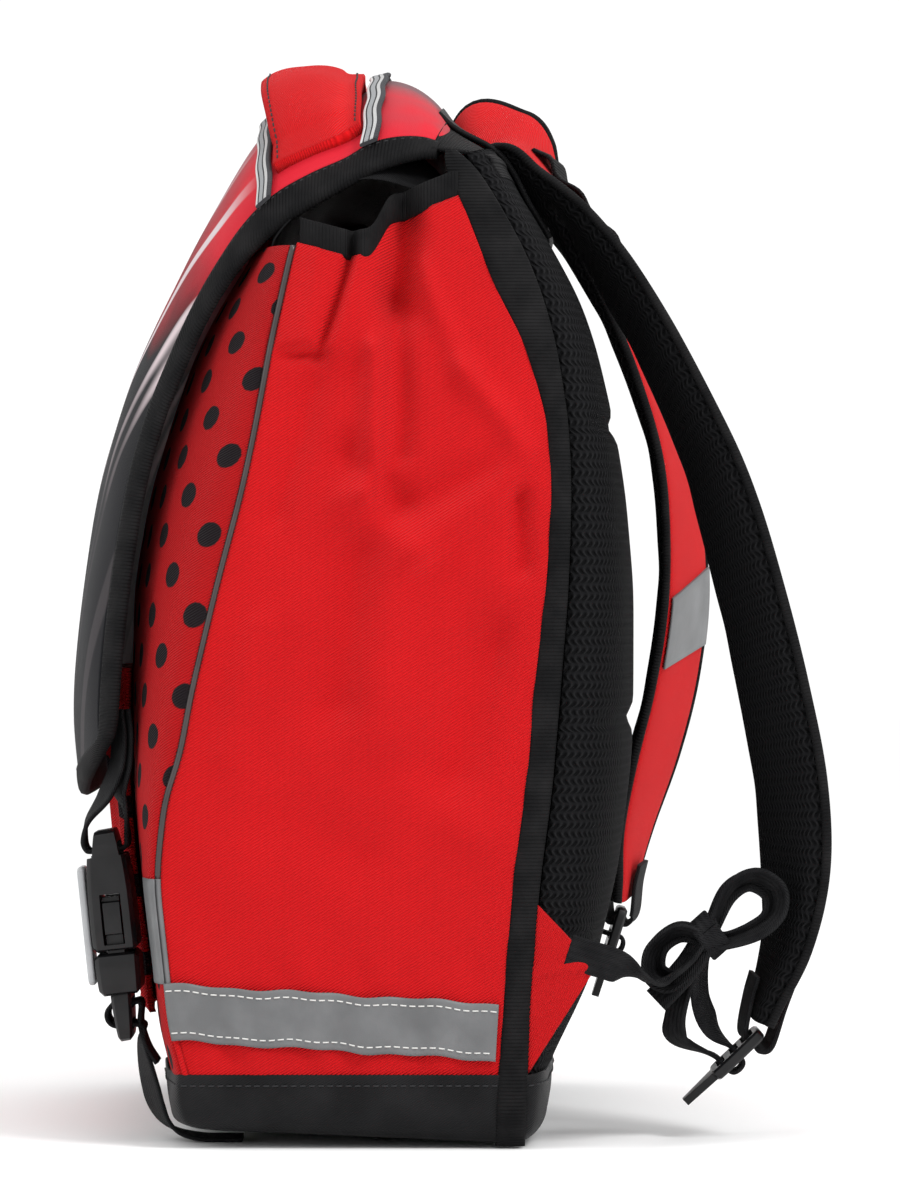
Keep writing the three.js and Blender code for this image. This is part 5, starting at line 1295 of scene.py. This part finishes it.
def through_lock(lock):
    return [lock(0.005, SLOT_IN_AT), lock(0, SLOT_IN_AT), lock(-0.0036, SLOT_IN_AT + 0.0006),
            lock(-0.0046, (SLOT_IN_AT + SLOT_OUT_AT) / 2), lock(-0.0036, SLOT_OUT_AT - 0.0006),
            lock(0, SLOT_OUT_AT), lock(0.005, SLOT_OUT_AT + 0.0003)]


def on_tab(sign, depth, height):
    x = float(outline("width", TAB_HIGH)) - 0.0006 + CLEARANCE + WEBBING_WALL / 2 + 0.0006
    return np.array([sign * x, depth * BAG_DEPTH, height * BAG_HEIGHT])


def turned(count, by):
    share = np.clip((np.arange(count) - 2) / (by - 2), 0, 1)[:, None]
    return np.array([[0, 0.3, 0.95]]) * (1 - share) + SIDEWAYS[None, :] * share


# across, depth and height shares of the near strap's adjusting webbing
KNOT = (0.843, 1.08, 0.211)
TO_KNOT = [(0.975, 0.86, 0.174), (0.907, 0.933, 0.166), (0.864, 1.017, 0.183), (0.843, 1.071, 0.206)]
KNOT_TO_LOCK = [(0.843, 1.08, 0.209), (0.821, 1.054, 0.18), (0.771, 1.058, 0.143), (0.721, 1.092, 0.117)]
LOCK_TO_KNOT = [(0.721, 1.0, 0.1), (0.764, 0.983, 0.119), (0.8, 0.996, 0.146), (0.829, 1.033, 0.183),
                (0.843, 1.075, 0.209)]
BOW_BACK = [(0.01, 0.04), (0.27, 0.59), (0.59, 0.78), (0.89, 0.61), (0.89, 0.3), (0.64, 0.07),
            (0.24, -0.07), (0.01, -0.04)]
BOW_FRONT = [(-0.06, -0.04), (-0.43, 0.04), (-0.74, -0.19), (-0.76, -0.52), (-0.5, -0.63),
             (-0.21, -0.37), (-0.06, -0.11)]
FAR_TO_LOCK = [(0.93, 0.815, 0.195), (0.88, 0.79, 0.19)]

for side, sign, table, forward in (("right", RIGHT, RIGHT_STRAP, 0.76), ("left", LEFT, LEFT_STRAP, 1.27)):
    end, along, across, out, lock = strap_end(sign, table, forward)
    near = CLEARANCE + WEBBING_WALL / 2
    under = end + out * (-STRAP_PAD - near)
    over = end + out * (CLEARANCE + STRAP_FACING + near)
    loop_route = [
        under - out * 0.001 - along * 0.009, under - out * 0.0006,
        lock(0.004, LOOP_SLOT_AT - 0.0002), lock(0, LOOP_SLOT_AT), lock(-0.004, LOOP_SLOT_AT - 0.0002),
        lock(-0.0054, 0.0008), over + out * 0.0006, over + out * 0.001 - along * 0.009,
    ]
    webbing(f"strap_loop_{side}_tape", loop_route, LOOP_WIDTH, across, [f"strap_loop_{side}"])
    tab_start = [on_tab(sign, 0.66, 0.199) - sign * SIDEWAYS * 0.0022,
                 on_tab(sign, 0.715, 0.193) - sign * SIDEWAYS * 0.0016,
                 on_tab(sign, 0.785, 0.186 if sign > 0 else 0.19)]
    if sign < 0:
        tail = [lock(0.007, 0.026), lock(0.0075, 0.036), lock(0.007, 0.046)]
        route = tab_start + [*from_shares(sign, FAR_TO_LOCK)] + through_lock(lock) + tail
        webbing("adjust_webbing_left_tape", route, ADJUST_WIDTH, turned(len(route), 4),
                ["adjust_webbing_left"])
        continue

    # The near strap's webbing: from the tab to the knot, up to the lock and back, and the bow.
    knot = from_shares(sign, KNOT)
    start = tab_start + [*from_shares(sign, TO_KNOT)]
    webbing("adjust_webbing_right_anchor", start, ADJUST_WIDTH, turned(len(start), 3.2),
            ["adjust_webbing_right"])
    strands = [*from_shares(sign, KNOT_TO_LOCK), *through_lock(lock), *from_shares(sign, LOCK_TO_KNOT)]
    lean = np.array([unit((1, -0.55, -0.1))] * 4 + [SIDEWAYS] * 7 + [unit((1, 0.5, 0.2))] * 5)
    webbing("adjust_webbing_right_strands", strands, ADJUST_WIDTH, lean, [])
    hanging = [knot + np.array([0.002, depth, height]) for depth, height in (
        (-0.002, -0.002), (-0.007, -0.010), (-0.013, -0.017), (-0.019, -0.023))]
    webbing("adjust_webbing_right_end", hanging, ADJUST_WIDTH, unit((1, 0.8, -0.7)), [])
    for bow, rows in (("back", BOW_BACK), ("front", BOW_FRONT)):
        flat = np.array(rows)
        spread = flat - flat.mean(axis=0)
        spread /= np.linalg.norm(spread, axis=1, keepdims=True)
        for strand, scale, turn, shift in (("upper", 1.0, 0.62, 0.001), ("under", 0.90, -0.75, -0.003)):
            loop = [knot + np.array([shift, depth * BOW_LOOP * scale, height * BOW_LOOP * scale])
                    for depth, height in rows]
            ways = np.stack([np.ones(len(rows)), spread[:, 0] * turn, spread[:, 1] * turn], axis=-1)
            webbing(f"adjust_webbing_right_{strand}_{bow}", loop, ADJUST_WIDTH * 0.92, ways, [])
    for turn, lean in (("first", 0.9), ("second", 0.5)):
        ring = [knot + np.array([0.0062 * math.cos(a), -0.0050 * math.sin(a) * lean, 0.0056 * math.sin(a)])
                for a in np.linspace(0.3, 0.3 + 2 * math.pi, 13)]
        webbing(f"adjust_webbing_right_knot_{turn}", ring, ADJUST_WIDTH * 0.75, unit((0.1, 1, lean)), [])

BUCKLE_FOOT = (-0.671, 0.194)
BASE_FOOT = [(-0.552, 0.08), (-0.582, 0.097), (-0.602, 0.12)]
TAIL = [(-0.6, 0.102), (-0.59, 0.08), (-0.575, 0.057), (-0.558, 0.037), (-0.53, 0.02), (-0.485, 0.0085),
        (-0.42, 0.0034), (-0.36, 0.0029), (-0.3, 0.0029)]
BAR_SIDE = 0.36 * BUCKLE_DEPTH + CLEARANCE + WEBBING_WALL
SLOT_AT = 0.0359
LADDER_IN = -0.01894
LADDER_OUT = -0.0265

for side, sign in (("right", RIGHT), ("left", LEFT)):
    origin = np.array([sign * BUCKLE_CENTRE, BUCKLE_FOOT[0] * BAG_DEPTH, BUCKLE_FOOT[1] * BAG_HEIGHT])
    buckle = hardware_frame(origin, np.array([0, -math.sin(BUCKLE_LEAN), math.cos(BUCKLE_LEAN)]),
                            np.array([0, math.cos(BUCKLE_LEAN), math.sin(BUCKLE_LEAN)]))
    upper = [(0.0082, 0.085), (0.0082, 0.075), (0.0064, 0.065), (0.001, 0.055), (-BAR_SIDE + 0.002, 0.047),
             (-BAR_SIDE, SLOT_AT + 0.0046), (-BAR_SIDE + 0.0006, SLOT_AT + 0.001),
             (-BAR_SIDE + 0.003, SLOT_AT), (BAR_SIDE - 0.003, SLOT_AT),
             (BAR_SIDE - 0.0006, SLOT_AT + 0.001), (BAR_SIDE, SLOT_AT + 0.0046), (BAR_SIDE, 0.05),
             (0.0064, 0.057), (0.009, 0.065), (0.0106, 0.075), (0.0106, 0.085)]
    tilts = [0.3, 0.3, 0.3, 0.3, 0.1, 0, 0, 0, 0, 0, 0, 0.1, 0.3, 0.3, 0.3, 0.3]
    webbing(f"flap_webbing_{side}_strip", [buckle(*place) for place in upper], WEBBING_WIDTH,
            [unit((1, sign * tilt, 0)) for tilt in tilts], [f"flap_webbing_{side}"])
    middle = (LADDER_IN + LADDER_OUT) / 2
    ladder = [(0.0064, LADDER_IN - 0.0004), (0.003, LADDER_IN), (-0.003, LADDER_IN),
              (-0.0056, middle + 0.0016), (-0.0056, middle - 0.0016), (-0.003, LADDER_OUT),
              (0.003, LADDER_OUT), (0.0066, LADDER_OUT - 0.0014)]
    share = BUCKLE_CENTRE / (BAG_WIDTH / 2)
    route = ([from_shares(sign, (share, *row)) for row in BASE_FOOT] + [buckle(*place) for place in ladder]
             + [from_shares(sign, (share, *row)) for row in TAIL])
    tilts = [0] * 11 + [0.14, 0.28, 0.36, 0.36, 0.26, 0.12, 0, 0, 0]
    webbing(f"base_webbing_{side}_strip", route, WEBBING_WIDTH,
            [unit((1, sign * tilt, 0)) for tilt in tilts], [f"base_webbing_{side}"])
